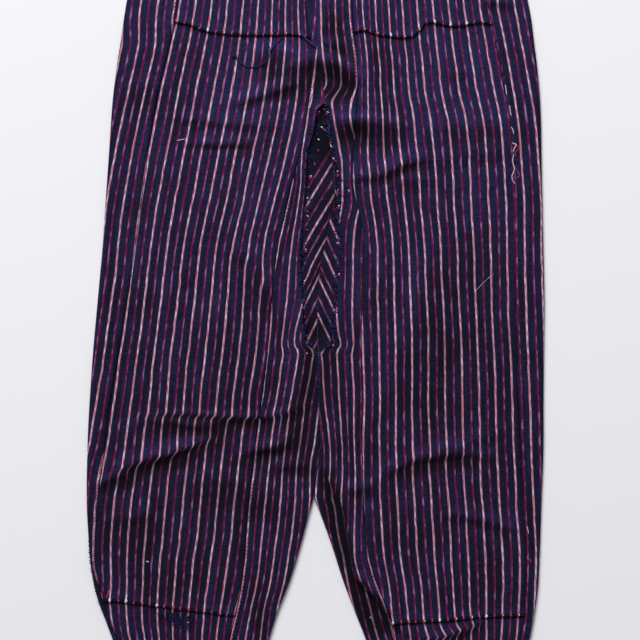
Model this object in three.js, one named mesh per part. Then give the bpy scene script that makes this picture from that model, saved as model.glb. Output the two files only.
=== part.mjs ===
// Monpe work trousers of narrow hand-loom cloth, laid out flat on a table, front up.
// X runs across the garment, Y up to the waist and Z up from the table, in millimetres.
// Each leg is a flattened tube: a half-width front panel, pieced at hip and knee, and a full-width back panel
// that wraps round both edges of the leg on to the front. A two-piece gusset fills the slit between the legs.
import * as THREE from "three";

// Driving sizes
const CLOTH = 1.3; // thickness of one layer of cloth
const SEAM_GAP = 0.3; // clearance between neighbouring pieces
const HALF_GAP = SEAM_GAP / 2;
const LENGTH = 920; // waist edge to hem edge
const WAISTBAND_DEPTH = 30;
const HEM_BAND_DEPTH = 24;
const CASING = 2; // wall of the waistband and hem bands, two turns of cloth pressed together
const EDGE_FOLD = 6.2; // height of the rolled fold along the leg's edges
const EDGE_EASE = 34; // how far in from an edge the cloth takes to settle flat
const EDGE_CLEAR = 16; // how far in from an edge the folds start
const END_CLEAR = 30; // how far below the waistband and above the hem bands they start
const LAID_FLAT = CLOTH + SEAM_GAP + CLOTH; // top of a front layer that lies on the back layer
const WAIST_Y = LENGTH / 2;
const HEM_Y = -LENGTH / 2;
const PANEL_TOP = WAIST_Y - WAISTBAND_DEPTH;
const PANEL_BOTTOM = HEM_Y + HEM_BAND_DEPTH;
const GUSSET_TOP = 260;
const CROTCH_Y = -35; // where the slits in the back panels end and the legs part
const GUSSET_FOLD_Y = CROTCH_Y + 1 + LAID_FLAT / 2; // where the gusset starts to turn under

const COLOURS = { cloth: 0x24213f, band: 0x201d38, gusset: 0x221f3b };

// Half the space between the legs, and the line that it is centred on.
// The gusset lies in it above the crotch.
const spine = [
  { y: 460, centre: -0.6, half: 0 },
  { y: 386, centre: -0.6, half: 0 },
  { y: 331, centre: 0.6, half: 0 },
  { y: 295, centre: 5.4, half: 0 },
  { y: 265, centre: 10.2, half: 0 },
  { y: 259, centre: 9.6, half: 1.8 },
  { y: 253, centre: 7.4, half: 6 },
  { y: 229, centre: 7, half: 10 },
  { y: 205, centre: 4.8, half: 15 },
  { y: 187, centre: 6, half: 18 },
  { y: 157, centre: 6.8, half: 19.8 },
  { y: 127, centre: 5.8, half: 21.4 },
  { y: 85, centre: 4.8, half: 23.4 },
  { y: 49, centre: 4.6, half: 22.4 },
  { y: 25, centre: 3.8, half: 20.6 },
  { y: -11, centre: 2.8, half: 17.5 },
  { y: -30, centre: 2.6, half: 12 },
  { y: -39, centre: 2.2, half: 0 },
  { y: -94, centre: 2.4, half: 0 },
  { y: -149, centre: 4.8, half: 0 },
  { y: -191, centre: -0.6, half: 0 },
  { y: -210, centre: -3.4, half: 0 },
  { y: -227, centre: -2.4, half: 5.4 },
  { y: -263, centre: -0.6, half: 16.8 },
  { y: -311, centre: 0, half: 31.8 },
  { y: -347, centre: -0.2, half: 45.6 },
  { y: -383, centre: 1.2, half: 58.3 },
  { y: -436, centre: 3.4, half: 74 },
  { y: -460, centre: 3.6, half: 78 },
];

// The outer edge of each leg and the two long seams of its front panel, as distances from X = 0.
const legs = {
  left: {
    side: -1,
    sections: [
      { y: 460, edge: 211.8, outerSeam: 154.2, innerSeam: 10.2 },
      { y: 430, edge: 216.6, outerSeam: 158.4, innerSeam: 10.6 },
      { y: 386, edge: 226.8, outerSeam: 165.6, innerSeam: 11.6 },
      { y: 361, edge: 231, outerSeam: 169.8, innerSeam: 10.8 },
      { y: 331, edge: 235.2, outerSeam: 175.2, innerSeam: 6 },
      { y: 313, edge: 238.2, outerSeam: 179.4, innerSeam: 5.4 },
      { y: 265, edge: 244.2, outerSeam: 190.8, innerSeam: 9.6 },
      { y: 205, edge: 248.4, outerSeam: 201, innerSeam: 18.6 },
      { y: 145, edge: 252.6, outerSeam: 209.4, innerSeam: 34.8 },
      { y: 85, edge: 256.8, outerSeam: 217.8, innerSeam: 46.8 },
      { y: 25, edge: 262.2, outerSeam: 226.2, innerSeam: 53.4 },
      { y: -35, edge: 267.6, outerSeam: 235.8, innerSeam: 58.2 },
      { y: -95, edge: 271.8, outerSeam: 246, innerSeam: 65.4 },
      { y: -143, edge: 274.2, outerSeam: 252.6, innerSeam: 72.6 },
      { y: -215, edge: 275.4, outerSeam: 261, innerSeam: 81 },
      { y: -263, edge: 273, outerSeam: 264.4, innerSeam: 84.6 },
      { y: -287, edge: 271.2, outerSeam: 264.4, innerSeam: 86.6 },
      { y: -311, edge: 267.6, outerSeam: 261.6, innerSeam: 89.6 },
      { y: -335, edge: 261.6, outerSeam: 255.8, innerSeam: 93.8 },
      { y: -359, edge: 252.6, outerSeam: 246.8, innerSeam: 99.2 },
      { y: -383, edge: 243.6, outerSeam: 237.8, innerSeam: 104.6 },
      { y: -436, edge: 224, outerSeam: 217, innerSeam: 113.4 },
      { y: -460, edge: 219, outerSeam: 212, innerSeam: 115.8 },
    ],
  },
  right: {
    side: 1,
    sections: [
      { y: 460, edge: 238.2, outerSeam: 192.6, innerSeam: 40.2 },
      { y: 430, edge: 243, outerSeam: 197.4, innerSeam: 41.4 },
      { y: 386, edge: 252.6, outerSeam: 205.2, innerSeam: 42.6 },
      { y: 361, edge: 257.4, outerSeam: 210, innerSeam: 43.8 },
      { y: 331, edge: 261, outerSeam: 216, innerSeam: 46.8 },
      { y: 313, edge: 263.4, outerSeam: 219.6, innerSeam: 48.6 },
      { y: 277, edge: 267, outerSeam: 226, innerSeam: 49.6 },
      { y: 241, edge: 268.8, outerSeam: 231.6, innerSeam: 47.6 },
      { y: 205, edge: 269.4, outerSeam: 234.6, innerSeam: 45 },
      { y: 169, edge: 270, outerSeam: 237, innerSeam: 43.6 },
      { y: 145, edge: 270.6, outerSeam: 238.2, innerSeam: 47.4 },
      { y: 115, edge: 271.2, outerSeam: 238.4, innerSeam: 54.6 },
      { y: 85, edge: 271.8, outerSeam: 238.4, innerSeam: 56.4 },
      { y: 25, edge: 273, outerSeam: 238.8, innerSeam: 54.6 },
      { y: -35, edge: 272.4, outerSeam: 240, innerSeam: 54 },
      { y: -95, edge: 272, outerSeam: 241.8, innerSeam: 54.6 },
      { y: -155, edge: 271.8, outerSeam: 244.8, innerSeam: 55.2 },
      { y: -215, edge: 269.6, outerSeam: 248.4, innerSeam: 57 },
      { y: -263, edge: 268, outerSeam: 251, innerSeam: 60 },
      { y: -287, edge: 267, outerSeam: 251.4, innerSeam: 64.2 },
      { y: -314, edge: 265.8, outerSeam: 251.2, innerSeam: 72.6 },
      { y: -335, edge: 263.4, outerSeam: 250.2, innerSeam: 81.6 },
      { y: -359, edge: 259.8, outerSeam: 248.4, innerSeam: 89.4 },
      { y: -383, edge: 255, outerSeam: 244, innerSeam: 93.6 },
      { y: -436, edge: 240, outerSeam: 230, innerSeam: 99 },
      { y: -460, edge: 234, outerSeam: 224, innerSeam: 101 },
    ],
  },
};

// Height of the hip and knee seams across a front panel, from its outer seam (0) to its inner seam (1).
const crossSeams = {
  left: {
    hip: [
      { across: 0, y: 358.8 },
      { across: 0.09, y: 356.4 },
      { across: 0.19, y: 350.4 },
      { across: 0.31, y: 345.6 },
      { across: 0.6, y: 342.6 },
      { across: 0.88, y: 343.2 },
      { across: 1, y: 340 },
    ],
    knee: [
      { across: 0, y: -334.8 },
      { across: 0.12, y: -334.8 },
      { across: 0.23, y: -337.2 },
      { across: 0.44, y: -340.8 },
      { across: 0.6, y: -345 },
      { across: 0.78, y: -348 },
      { across: 1, y: -352.8 },
    ],
  },
  right: {
    hip: [
      { across: 0, y: 356.4 },
      { across: 0.1, y: 357.6 },
      { across: 0.28, y: 354 },
      { across: 0.47, y: 357.6 },
      { across: 0.53, y: 349.2 },
      { across: 0.6, y: 340.8 },
      { across: 0.82, y: 343.2 },
      { across: 0.94, y: 349 },
      { across: 1, y: 345.6 },
    ],
    knee: [
      { across: 0, y: -351.6 },
      { across: 0.33, y: -354 },
      { across: 0.48, y: -356.4 },
      { across: 0.7, y: -358.8 },
      { across: 1, y: -361.2 },
    ],
  },
};

// The seam down the middle of the gusset.
const gussetSeam = [
  { y: 262, x: 10.2 },
  { y: 253, x: 11.4 },
  { y: 229, x: 14.5 },
  { y: 205, x: 17.3 },
  { y: 187, x: 20 },
  { y: 157, x: 21.6 },
  { y: 135, x: 19.4 },
  { y: 119, x: 15.6 },
  { y: 102, x: 12.2 },
  { y: 86, x: 9.2 },
  { y: 73, x: 6.2 },
  { y: 53, x: 3.6 },
  { y: 29, x: 1.8 },
  { y: 1, x: 1 },
  { y: -34, x: 1 },
];

// The largest folds in the front: soft ridges from one end to the other, with the sideways bow of the crest.
const folds = [
  { name: "left hip bend", x1: -86, y1: 275, x2: -14, y2: 284, bow: 0, height: 5, width: 17 },
  { name: "left thigh kink", x1: -104, y1: 103, x2: -53, y2: 47, bow: -3, height: 4, width: 10 },
  { name: "left knee high", x1: -160, y1: -112, x2: -20, y2: -97, bow: -8, height: 6, width: 12 },
  { name: "left knee low", x1: -227, y1: -173, x2: -132, y2: -124, bow: 2, height: 6.5, width: 12 },
  { name: "left thigh crease", x1: -156, y1: 211, x2: -76, y2: 212, bow: 1, height: 2.5, width: 8 },
  { name: "left crotch tuck", x1: -14, y1: -58, x2: -27, y2: -200, bow: 0, height: 3.5, width: 8 },
  { name: "right knee", x1: 76, y1: -182, x2: 200, y2: -161, bow: 6, height: 6, width: 12 },
  { name: "right thigh bulge", x1: 44, y1: 176, x2: 140, y2: 200, bow: 13, height: 5.5, width: 14 },
  { name: "right thigh diagonal", x1: 30, y1: 158, x2: 124, y2: 196, bow: -3, height: 3, width: 9 },
  { name: "right hip top", x1: 182, y1: 374, x2: 236, y2: 376, bow: 2, height: 2.5, width: 8 },
  { name: "right crotch tuck", x1: 27, y1: -60, x2: 33, y2: -190, bow: 0, height: 3, width: 7 },
  { name: "rise tuck", x1: 12, y1: 262, x2: 44, y2: 318, bow: 1, height: 4.5, width: 8 },
  { name: "rise roll", x1: 5, y1: 268, x2: 4, y2: 360, bow: 2, height: 3.5, width: 7 },
];
const CROSS_RIDGE = { height: 1.6, width: 4 }; // the turned-up raw edges along the hip and knee seams
const GUSSET_ROLL = { height: 3.2, width: 9 }; // the leg's rolled edge beside the gusset
const GATHERS = { perLeg: 6, height: 2.6, reach: 62 }; // the fullness taken in at each hem

// Rows that every piece shares, so that neighbours' edges match. They lie closer where folds cross the leg.
const ROWS = { coarse: 26, fine: 10, closest: 1.5, zones: [{ top: -94, bottom: -196 }] };
const CROTCH_CLOSING = 4; // below the slit's end, where each leg's back panel is whole again
const COLUMNS = { front: 10, gusset: 3, outerFlap: 2, underside: 4, innerFlap: 3, band: 10 };
const FOLD_STEPS = 3; // facets round a rolled fold

// ---- curves through the tables

function smoothRead(table, key, at, along = "y") {
  const rising = table[0][along] < table[table.length - 1][along];
  const rows = rising ? table : [...table].reverse();
  const last = rows.length - 1;
  if (at <= rows[0][along]) return rows[0][key];
  if (at >= rows[last][along]) return rows[last][key];
  const i = rows.findIndex((row) => row[along] > at) - 1;
  const slope = (k) => {
    const a = rows[Math.max(0, k - 1)];
    const b = rows[Math.min(last, k + 1)];
    return (b[key] - a[key]) / (b[along] - a[along]);
  };
  const step = rows[i + 1][along] - rows[i][along];
  const t = (at - rows[i][along]) / step;
  const h = [2 * t ** 3 - 3 * t ** 2 + 1, t ** 3 - 2 * t ** 2 + t, 3 * t ** 2 - 2 * t ** 3, t ** 3 - t ** 2];
  return h[0] * rows[i][key] + h[1] * step * slope(i) + h[2] * rows[i + 1][key] + h[3] * step * slope(i + 1);
}

const spread = (from, to, count) =>
  Array.from({ length: count + 1 }, (_, k) => THREE.MathUtils.lerp(from, to, k / count));

function sharedRows() {
  const zoneEnds = ROWS.zones.flatMap((zone) => [zone.top, zone.bottom]);
  const closed = CROTCH_Y - CROTCH_CLOSING;
  const fixed = [PANEL_TOP, GUSSET_TOP, GUSSET_FOLD_Y, CROTCH_Y, closed, ...zoneEnds, PANEL_BOTTOM];
  const inZone = (y) => ROWS.zones.some((zone) => y <= zone.top && y > zone.bottom);
  const rows = fixed.slice(1).flatMap((end, k) => {
    const count = Math.ceil((fixed[k] - end) / (inZone(fixed[k]) ? ROWS.fine : ROWS.coarse));
    return spread(fixed[k], end, count).slice(1);
  });
  return [PANEL_TOP, ...rows];
}

const rowsBetween = (top, bottom) => [top, ...sharedRows().filter((y) => y < top && y > bottom), bottom];

// Reads a smooth curve straight between the shared rows, so that neighbouring pieces meet along one line.
function readOnRows(curve, y) {
  const rows = [WAIST_Y, ...sharedRows(), HEM_Y];
  const below = Math.max(1, rows.findIndex((row) => row <= y));
  const t = (rows[below - 1] - y) / (rows[below - 1] - rows[below]);
  return THREE.MathUtils.lerp(curve(rows[below - 1]), curve(rows[below]), t);
}

const spineLine = (key, y) => readOnRows((row) => smoothRead(spine, key, row), y);
const halfSpace = (y) => Math.max(0, spineLine("half", y)) + HALF_GAP;
const insideEdge = (leg, y) => spineLine("centre", y) + leg.side * halfSpace(y);
const legLine = (leg, key, y) => leg.side * readOnRows((row) => smoothRead(leg.sections, key, row), y);
const gussetLine = (y) => readOnRows((row) => smoothRead(gussetSeam, "x", row), y);
const fadeIn = (t) => THREE.MathUtils.smoothstep(t, 0, 1);
const bump = (distance, width) => Math.exp(-((distance / width) ** 2));

// ---- height of the front layer's outer face

function foldHeight(fold, x, y) {
  const along = new THREE.Vector2(fold.x2 - fold.x1, fold.y2 - fold.y1);
  const length = along.length();
  along.divideScalar(length);
  const s = ((x - fold.x1) * along.x + (y - fold.y1) * along.y) / length;
  if (s <= 0 || s >= 1) return 0;
  const off = (y - fold.y1) * along.x - (x - fold.x1) * along.y - fold.bow * 4 * s * (1 - s);
  return fold.height * Math.sin(Math.PI * s) * bump(off, fold.width);
}

function gatherHeight(leg, x, y) {
  const up = (y - PANEL_BOTTOM) / GATHERS.reach;
  if (up >= 1) return 0;
  const edge = legLine(leg, "edge", y);
  const inside = insideEdge(leg, y);
  const share = (x - inside) / (edge - inside);
  return GATHERS.height * (1 - fadeIn(up)) * (0.5 - 0.5 * Math.cos(2 * Math.PI * GATHERS.perLeg * share));
}

function frontTop(leg, x, y) {
  const radius = EDGE_FOLD / 2;
  const fromEdge = Math.abs(legLine(leg, "edge", y) - x) - radius;
  const fromInside = Math.abs(x - insideEdge(leg, y));
  const ease = (d) => 0.5 + 0.5 * Math.cos(Math.PI * Math.min(1, Math.max(0, d / EDGE_EASE)));
  const parted = y < CROTCH_Y;
  const atGusset = y > CROTCH_Y && y < GUSSET_TOP;
  const beside = atGusset ? GUSSET_ROLL.height * bump(fromInside, GUSSET_ROLL.width) : 0;
  const roll = Math.max(ease(fromEdge), parted ? ease(fromInside - radius) : 0);
  const clear = fadeIn(fromEdge / EDGE_CLEAR) * (parted ? fadeIn((fromInside - radius) / EDGE_CLEAR) : 1);
  const ends = fadeIn((PANEL_TOP - y) / END_CLEAR) * fadeIn((y - PANEL_BOTTOM) / END_CLEAR);
  const drape = folds.reduce((sum, fold) => sum + foldHeight(fold, x, y), 0) * ends;
  return LAID_FLAT + (EDGE_FOLD - LAID_FLAT) * roll + (drape + gatherHeight(leg, x, y)) * clear + beside;
}

// ---- closed walls

// A wall from a grid of outer points and inner points, rows by columns. Cells that keep() refuses are left
// out, and a closed grid joins its last column to its first.
function wall(outer, inner, { keep = () => true, closed = false } = {}) {
  const rows = outer.length;
  const columns = outer[0].length;
  const points = [...outer.flat(), ...inner.flat()];
  const at = (layer, i, j) => layer * rows * columns + i * columns + (j % columns);
  const cells = closed ? columns : columns - 1;
  const kept = (i, j) => {
    const column = closed ? (j + columns) % columns : j;
    return i >= 0 && i < rows - 1 && column >= 0 && column < cells && keep(i, column);
  };
  const faces = [];
  const quad = (a, b, c, d) => faces.push(a, b, c, a, c, d);
  for (let i = 0; i < rows - 1; i++) {
    for (let j = 0; j < cells; j++) {
      if (!kept(i, j)) continue;
      quad(at(0, i, j), at(0, i, j + 1), at(0, i + 1, j + 1), at(0, i + 1, j));
      quad(at(1, i, j), at(1, i + 1, j), at(1, i + 1, j + 1), at(1, i, j + 1));
      if (!kept(i - 1, j)) quad(at(0, i, j + 1), at(0, i, j), at(1, i, j), at(1, i, j + 1));
      if (!kept(i + 1, j)) quad(at(0, i + 1, j), at(0, i + 1, j + 1), at(1, i + 1, j + 1), at(1, i + 1, j));
      if (!kept(i, j - 1)) quad(at(0, i, j), at(0, i + 1, j), at(1, i + 1, j), at(1, i, j));
      if (!kept(i, j + 1)) quad(at(0, i + 1, j + 1), at(0, i, j + 1), at(1, i, j + 1), at(1, i + 1, j + 1));
    }
  }
  const geometry = new THREE.BufferGeometry();
  geometry.setAttribute("position", new THREE.Float32BufferAttribute(points.flat(), 3));
  geometry.setIndex(faces);
  turnOutward(geometry);
  geometry.computeVertexNormals();
  return geometry;
}

function turnOutward(geometry) {
  const position = geometry.getAttribute("position");
  const index = geometry.getIndex();
  const corner = [new THREE.Vector3(), new THREE.Vector3(), new THREE.Vector3()];
  let volume = 0;
  for (let i = 0; i < index.count; i += 3) {
    corner.forEach((v, k) => v.fromBufferAttribute(position, index.getX(i + k)));
    volume += corner[0].dot(corner[1].clone().cross(corner[2]));
  }
  if (volume > 0) return;
  for (let i = 0; i < index.count; i += 3) {
    const second = index.getX(i + 1);
    index.setX(i + 1, index.getX(i + 2));
    index.setX(i + 2, second);
  }
}

// ---- the pieces

// Part of a leg's front panel. Its end rows follow the cross seams, given as heights by the share across it.
// The rows between them are the shared ones, squeezed together where a seam crosses them.
function frontPiece(leg, topAt, bottomAt, seams) {
  const shares = spread(0, 1, COLUMNS.front);
  const highest = Math.max(...shares.map(topAt));
  const lowest = Math.min(...shares.map(bottomAt));
  const shared = sharedRows().filter((y) => y < highest && y > lowest);
  const { width } = CROSS_RIDGE;
  const heightsAt = (across) => {
    const top = topAt(across);
    const bottom = bottomAt(across);
    const below = (k) => top - width - (k + 1) * ROWS.closest;
    const above = (k) => bottom + width + (shared.length - k) * ROWS.closest;
    const between = shared.map((y, k) => Math.max(above(k), Math.min(below(k), y)));
    return [top, top - width, ...between, bottom + width, bottom];
  };
  const columns = shares.map((across) =>
    heightsAt(across).map((y) => {
      const from = legLine(leg, "outerSeam", y) - leg.side * HALF_GAP;
      const to = legLine(leg, "innerSeam", y) + leg.side * HALF_GAP;
      const x = THREE.MathUtils.lerp(from, to, across);
      const ridges = seams.map((seam) => CROSS_RIDGE.height * bump(y - seam(across), width / 2));
      return { x, y, under: frontTop(leg, x, y) - CLOTH, raised: Math.max(0, ...ridges) };
    }),
  );
  const rows = columns[0].map((_, i) => columns.map((column) => column[i]));
  const layer = (height) => rows.map((row) => row.map((p) => [p.x, p.y, height(p)]));
  return wall(layer((p) => p.under + CLOTH + p.raised), layer((p) => p.under));
}

function frontPieces(side) {
  const leg = legs[side];
  const seam = (name, shift) => (across) => smoothRead(crossSeams[side][name], "y", across, "across") + shift;
  const [hip, knee] = [seam("hip", 0), seam("knee", 0)];
  const top = () => PANEL_TOP - HALF_GAP;
  const bottom = () => PANEL_BOTTOM + HALF_GAP;
  return {
    front_hip: frontPiece(leg, top, seam("hip", HALF_GAP), [hip]),
    front_thigh: frontPiece(leg, seam("hip", -HALF_GAP), seam("knee", HALF_GAP), [hip, knee]),
    front_shin: frontPiece(leg, seam("knee", -HALF_GAP), bottom, [knee]),
  };
}

// A rolled fold as [x, z] steps from its top to its foot, bulging in the given direction.
function foldArc(x, direction) {
  const radius = EDGE_FOLD / 2;
  return spread(Math.PI / 2, -Math.PI / 2, FOLD_STEPS).map((angle) => {
    const out = direction * Math.cos(angle);
    return {
      outer: [x + radius * out, radius + radius * Math.sin(angle)],
      inner: [x + (radius - CLOTH) * out, radius + (radius - CLOTH) * Math.sin(angle)],
    };
  });
}

// The back panel: it starts at the front's outer seam, wraps round the leg's edge, lies on the table, wraps
// round the inside of the leg and ends at the front's inner seam. It is slit above the crotch, for the rise.
function backPanel(side) {
  const leg = legs[side];
  const slitFrom = COLUMNS.outerFlap + FOLD_STEPS + COLUMNS.underside;
  const radius = EDGE_FOLD / 2;
  const rows = rowsBetween(PANEL_TOP - HALF_GAP, PANEL_BOTTOM + HALF_GAP);
  const onTop = (x, y) => ({ outer: [x, frontTop(leg, x, y)], inner: [x, frontTop(leg, x, y) - CLOTH] });
  const onTable = (x) => ({ outer: [x, 0], inner: [x, CLOTH] });
  const outer = [];
  const inner = [];
  for (const y of rows) {
    const edge = legLine(leg, "edge", y) - leg.side * radius;
    const inside = insideEdge(leg, y);
    const slit = y >= CROTCH_Y;
    const turn = slit ? inside : inside + leg.side * radius;
    const outerSeam = legLine(leg, "outerSeam", y) + leg.side * HALF_GAP;
    const innerSeam = legLine(leg, "innerSeam", y) - leg.side * HALF_GAP;
    const ring = [
      ...spread(outerSeam, edge, COLUMNS.outerFlap).slice(0, -1).map((x) => onTop(x, y)),
      ...foldArc(edge, leg.side).slice(0, -1),
      ...spread(edge, turn, COLUMNS.underside).map((x) => onTable(x)),
      ...foldArc(turn, -leg.side).reverse().slice(1, -1),
      ...spread(turn, innerSeam, COLUMNS.innerFlap).map((x) => onTop(x, y)),
    ];
    outer.push(ring.map((p) => [p.outer[0], y, p.outer[1]]));
    inner.push(ring.map((p) => [p.inner[0], y, p.inner[1]]));
  }
  const inSlit = (i, j) => j >= slitFrom && j < slitFrom + FOLD_STEPS && rows[i] > CROTCH_Y;
  return wall(outer, inner, { keep: (i, j) => !inSlit(i, j) });
}

// One half of the gusset: from its tip on the front down to the crotch, round the fold and up again
// underneath.
function gussetHalf(side) {
  const leg = legs[side];
  const radius = LAID_FLAT / 2;
  const line = (y) => {
    const inside = insideEdge(leg, y) - leg.side * SEAM_GAP;
    const middle = gussetLine(y) + leg.side * HALF_GAP;
    return spread(inside, middle, COLUMNS.gusset);
  };
  const rows = [];
  const fromTop = rowsBetween(GUSSET_TOP, GUSSET_FOLD_Y);
  fromTop.forEach((y) => rows.push({ y, outer: [y, LAID_FLAT], inner: [y, LAID_FLAT - CLOTH] }));
  spread(Math.PI / 2, -Math.PI / 2, FOLD_STEPS).slice(1, -1).forEach((angle) => {
    const at = (r) => [GUSSET_FOLD_Y - r * Math.cos(angle), radius + r * Math.sin(angle)];
    rows.push({ y: GUSSET_FOLD_Y - radius * Math.cos(angle), outer: at(radius), inner: at(radius - CLOTH) });
  });
  [...fromTop].reverse().forEach((y) => rows.push({ y, outer: [y, 0], inner: [y, CLOTH] }));
  const grid = (layer) => rows.map((row) => line(row.y).map((x) => [x, ...row[layer]]));
  return wall(grid("outer"), grid("inner"));
}

// A casing of doubled cloth round an opening, laid flat between two ends.
function casing(endsAt, topY, bottomY) {
  const radius = EDGE_FOLD / 2;
  const rows = [topY, bottomY];
  const ring = (y, inset) => {
    const [from, to] = endsAt(y);
    const left = from + radius;
    const right = to - radius;
    const r = radius - inset;
    const arc = (x, direction) =>
      spread(Math.PI / 2, -Math.PI / 2, FOLD_STEPS).map((a) => [
        x + direction * r * Math.cos(a),
        y,
        radius + r * Math.sin(a),
      ]);
    return [
      ...spread(left, right, COLUMNS.band).slice(1, -1).map((x) => [x, y, EDGE_FOLD - inset]),
      ...arc(right, 1),
      ...spread(right, left, COLUMNS.band).slice(1, -1).map((x) => [x, y, inset]),
      ...arc(left, -1).reverse(),
    ];
  };
  return wall(rows.map((y) => ring(y, 0)), rows.map((y) => ring(y, CASING)), { closed: true });
}

// ---- the trousers

const trousers = new THREE.Group();

function add(name, geometry, colour) {
  const material = new THREE.MeshStandardMaterial({ color: colour, roughness: 0.9, metalness: 0 });
  const mesh = new THREE.Mesh(geometry, material);
  mesh.name = name;
  trousers.add(mesh);
}

for (const side of ["left", "right"]) {
  const leg = legs[side];
  const fronts = Object.entries(frontPieces(side));
  fronts.forEach(([piece, geometry]) => add(`${side}_${piece}`, geometry, COLOURS.cloth));
  add(`${side}_back`, backPanel(side), COLOURS.cloth);
  add(`gusset_${side}`, gussetHalf(side), COLOURS.gusset);
  const hemEnds = (y) => [legLine(leg, "edge", y), insideEdge(leg, y)].sort((a, b) => a - b);
  add(`${side}_hem_band`, casing(hemEnds, PANEL_BOTTOM - HALF_GAP, HEM_Y), COLOURS.band);
}
const waistEnds = (y) => [legLine(legs.left, "edge", y), legLine(legs.right, "edge", y)];
add("waistband", casing(waistEnds, WAIST_Y, PANEL_TOP + HALF_GAP), COLOURS.band);

export default trousers;
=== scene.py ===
import math
from functools import partial

import bpy
import numpy as np
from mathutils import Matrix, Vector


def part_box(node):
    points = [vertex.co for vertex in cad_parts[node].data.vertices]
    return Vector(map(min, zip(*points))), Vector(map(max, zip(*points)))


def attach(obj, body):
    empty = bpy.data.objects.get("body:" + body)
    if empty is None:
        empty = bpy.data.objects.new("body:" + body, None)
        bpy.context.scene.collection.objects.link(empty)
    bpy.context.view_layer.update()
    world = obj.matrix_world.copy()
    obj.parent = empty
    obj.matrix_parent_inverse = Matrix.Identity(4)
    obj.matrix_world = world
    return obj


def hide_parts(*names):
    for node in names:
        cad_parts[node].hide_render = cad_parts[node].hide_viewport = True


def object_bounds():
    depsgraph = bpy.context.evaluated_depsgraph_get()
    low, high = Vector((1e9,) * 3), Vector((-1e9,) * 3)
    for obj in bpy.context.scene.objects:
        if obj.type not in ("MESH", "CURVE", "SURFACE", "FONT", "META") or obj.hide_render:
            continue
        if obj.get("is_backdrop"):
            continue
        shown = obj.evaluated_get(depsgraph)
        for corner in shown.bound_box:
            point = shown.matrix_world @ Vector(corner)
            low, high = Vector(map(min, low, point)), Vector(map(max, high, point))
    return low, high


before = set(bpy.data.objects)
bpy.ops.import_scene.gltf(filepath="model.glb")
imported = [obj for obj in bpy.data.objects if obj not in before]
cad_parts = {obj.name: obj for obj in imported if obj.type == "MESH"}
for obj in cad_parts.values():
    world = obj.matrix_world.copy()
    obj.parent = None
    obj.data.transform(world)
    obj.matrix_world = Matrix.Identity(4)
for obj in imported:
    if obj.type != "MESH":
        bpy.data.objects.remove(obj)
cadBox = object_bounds()
print("frame loaded")

mm = 0.001
nodeBox = {name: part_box(name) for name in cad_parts}

# Sizes of the garment in millimetres. X runs across, Y up to the waist, Z up from the table.
garment = {
    "cloth": 1.3,  # one layer as the frame counts it
    "shell": 0.8,  # one layer as it is woven
    "seamGap": 0.3,
    "pitch": 20.0,  # from one pink stripe to the next on the loom
    "ruckedPitch": 16.4,  # the same where the right leg's inner flap is pushed together
    "edgeFold": 6.2,  # height of the rolled edge of a leg
    "edgeEase": 34.0,  # how far in the rolled edge lifts the front
    "edgeClear": 16.0,  # no folds this near to a rolled edge
    "endClear": 30.0,  # nor this near to the panels' ends
    "air": 0.6,  # mean space under the front
    "pressed": 0.9,  # least share of the laid height that any dip leaves
    "gussetTop": 260.0,
    "crotch": -35.0,
}
laidFlat = 2 * garment["cloth"] + garment["seamGap"]
halfGap = garment["seamGap"] / 2
panelTop = nodeBox["left_back"][1].y / mm
panelBottom = nodeBox["left_back"][0].y / mm


def table(columns, rows):
    return {column: np.array(values, float) for column, values in zip(columns, zip(*rows))}


# Half the space between the legs and the line it is centred on.
spine = table(("y", "centre", "half"), [
    (460, -0.6, 0), (386, -0.6, 0), (331, 0.6, 0), (295, 5.4, 0), (265, 10.2, 0), (259, 9.6, 1.8),
    (253, 7.4, 6), (229, 7, 10), (205, 4.8, 15), (187, 6, 18), (157, 6.8, 19.8), (127, 5.8, 21.4),
    (85, 4.8, 23.4), (49, 4.6, 22.4), (25, 3.8, 20.6), (-11, 2.8, 17.5), (-30, 2.6, 12), (-39, 2.2, 0),
    (-94, 2.4, 0), (-149, 4.8, 0), (-191, -0.6, 0), (-210, -3.4, 0), (-227, -2.4, 5.4), (-263, -0.6, 16.8),
    (-311, 0, 31.8), (-347, -0.2, 45.6), (-383, 1.2, 58.3), (-436, 3.4, 74), (-460, 3.6, 78),
])

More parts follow.
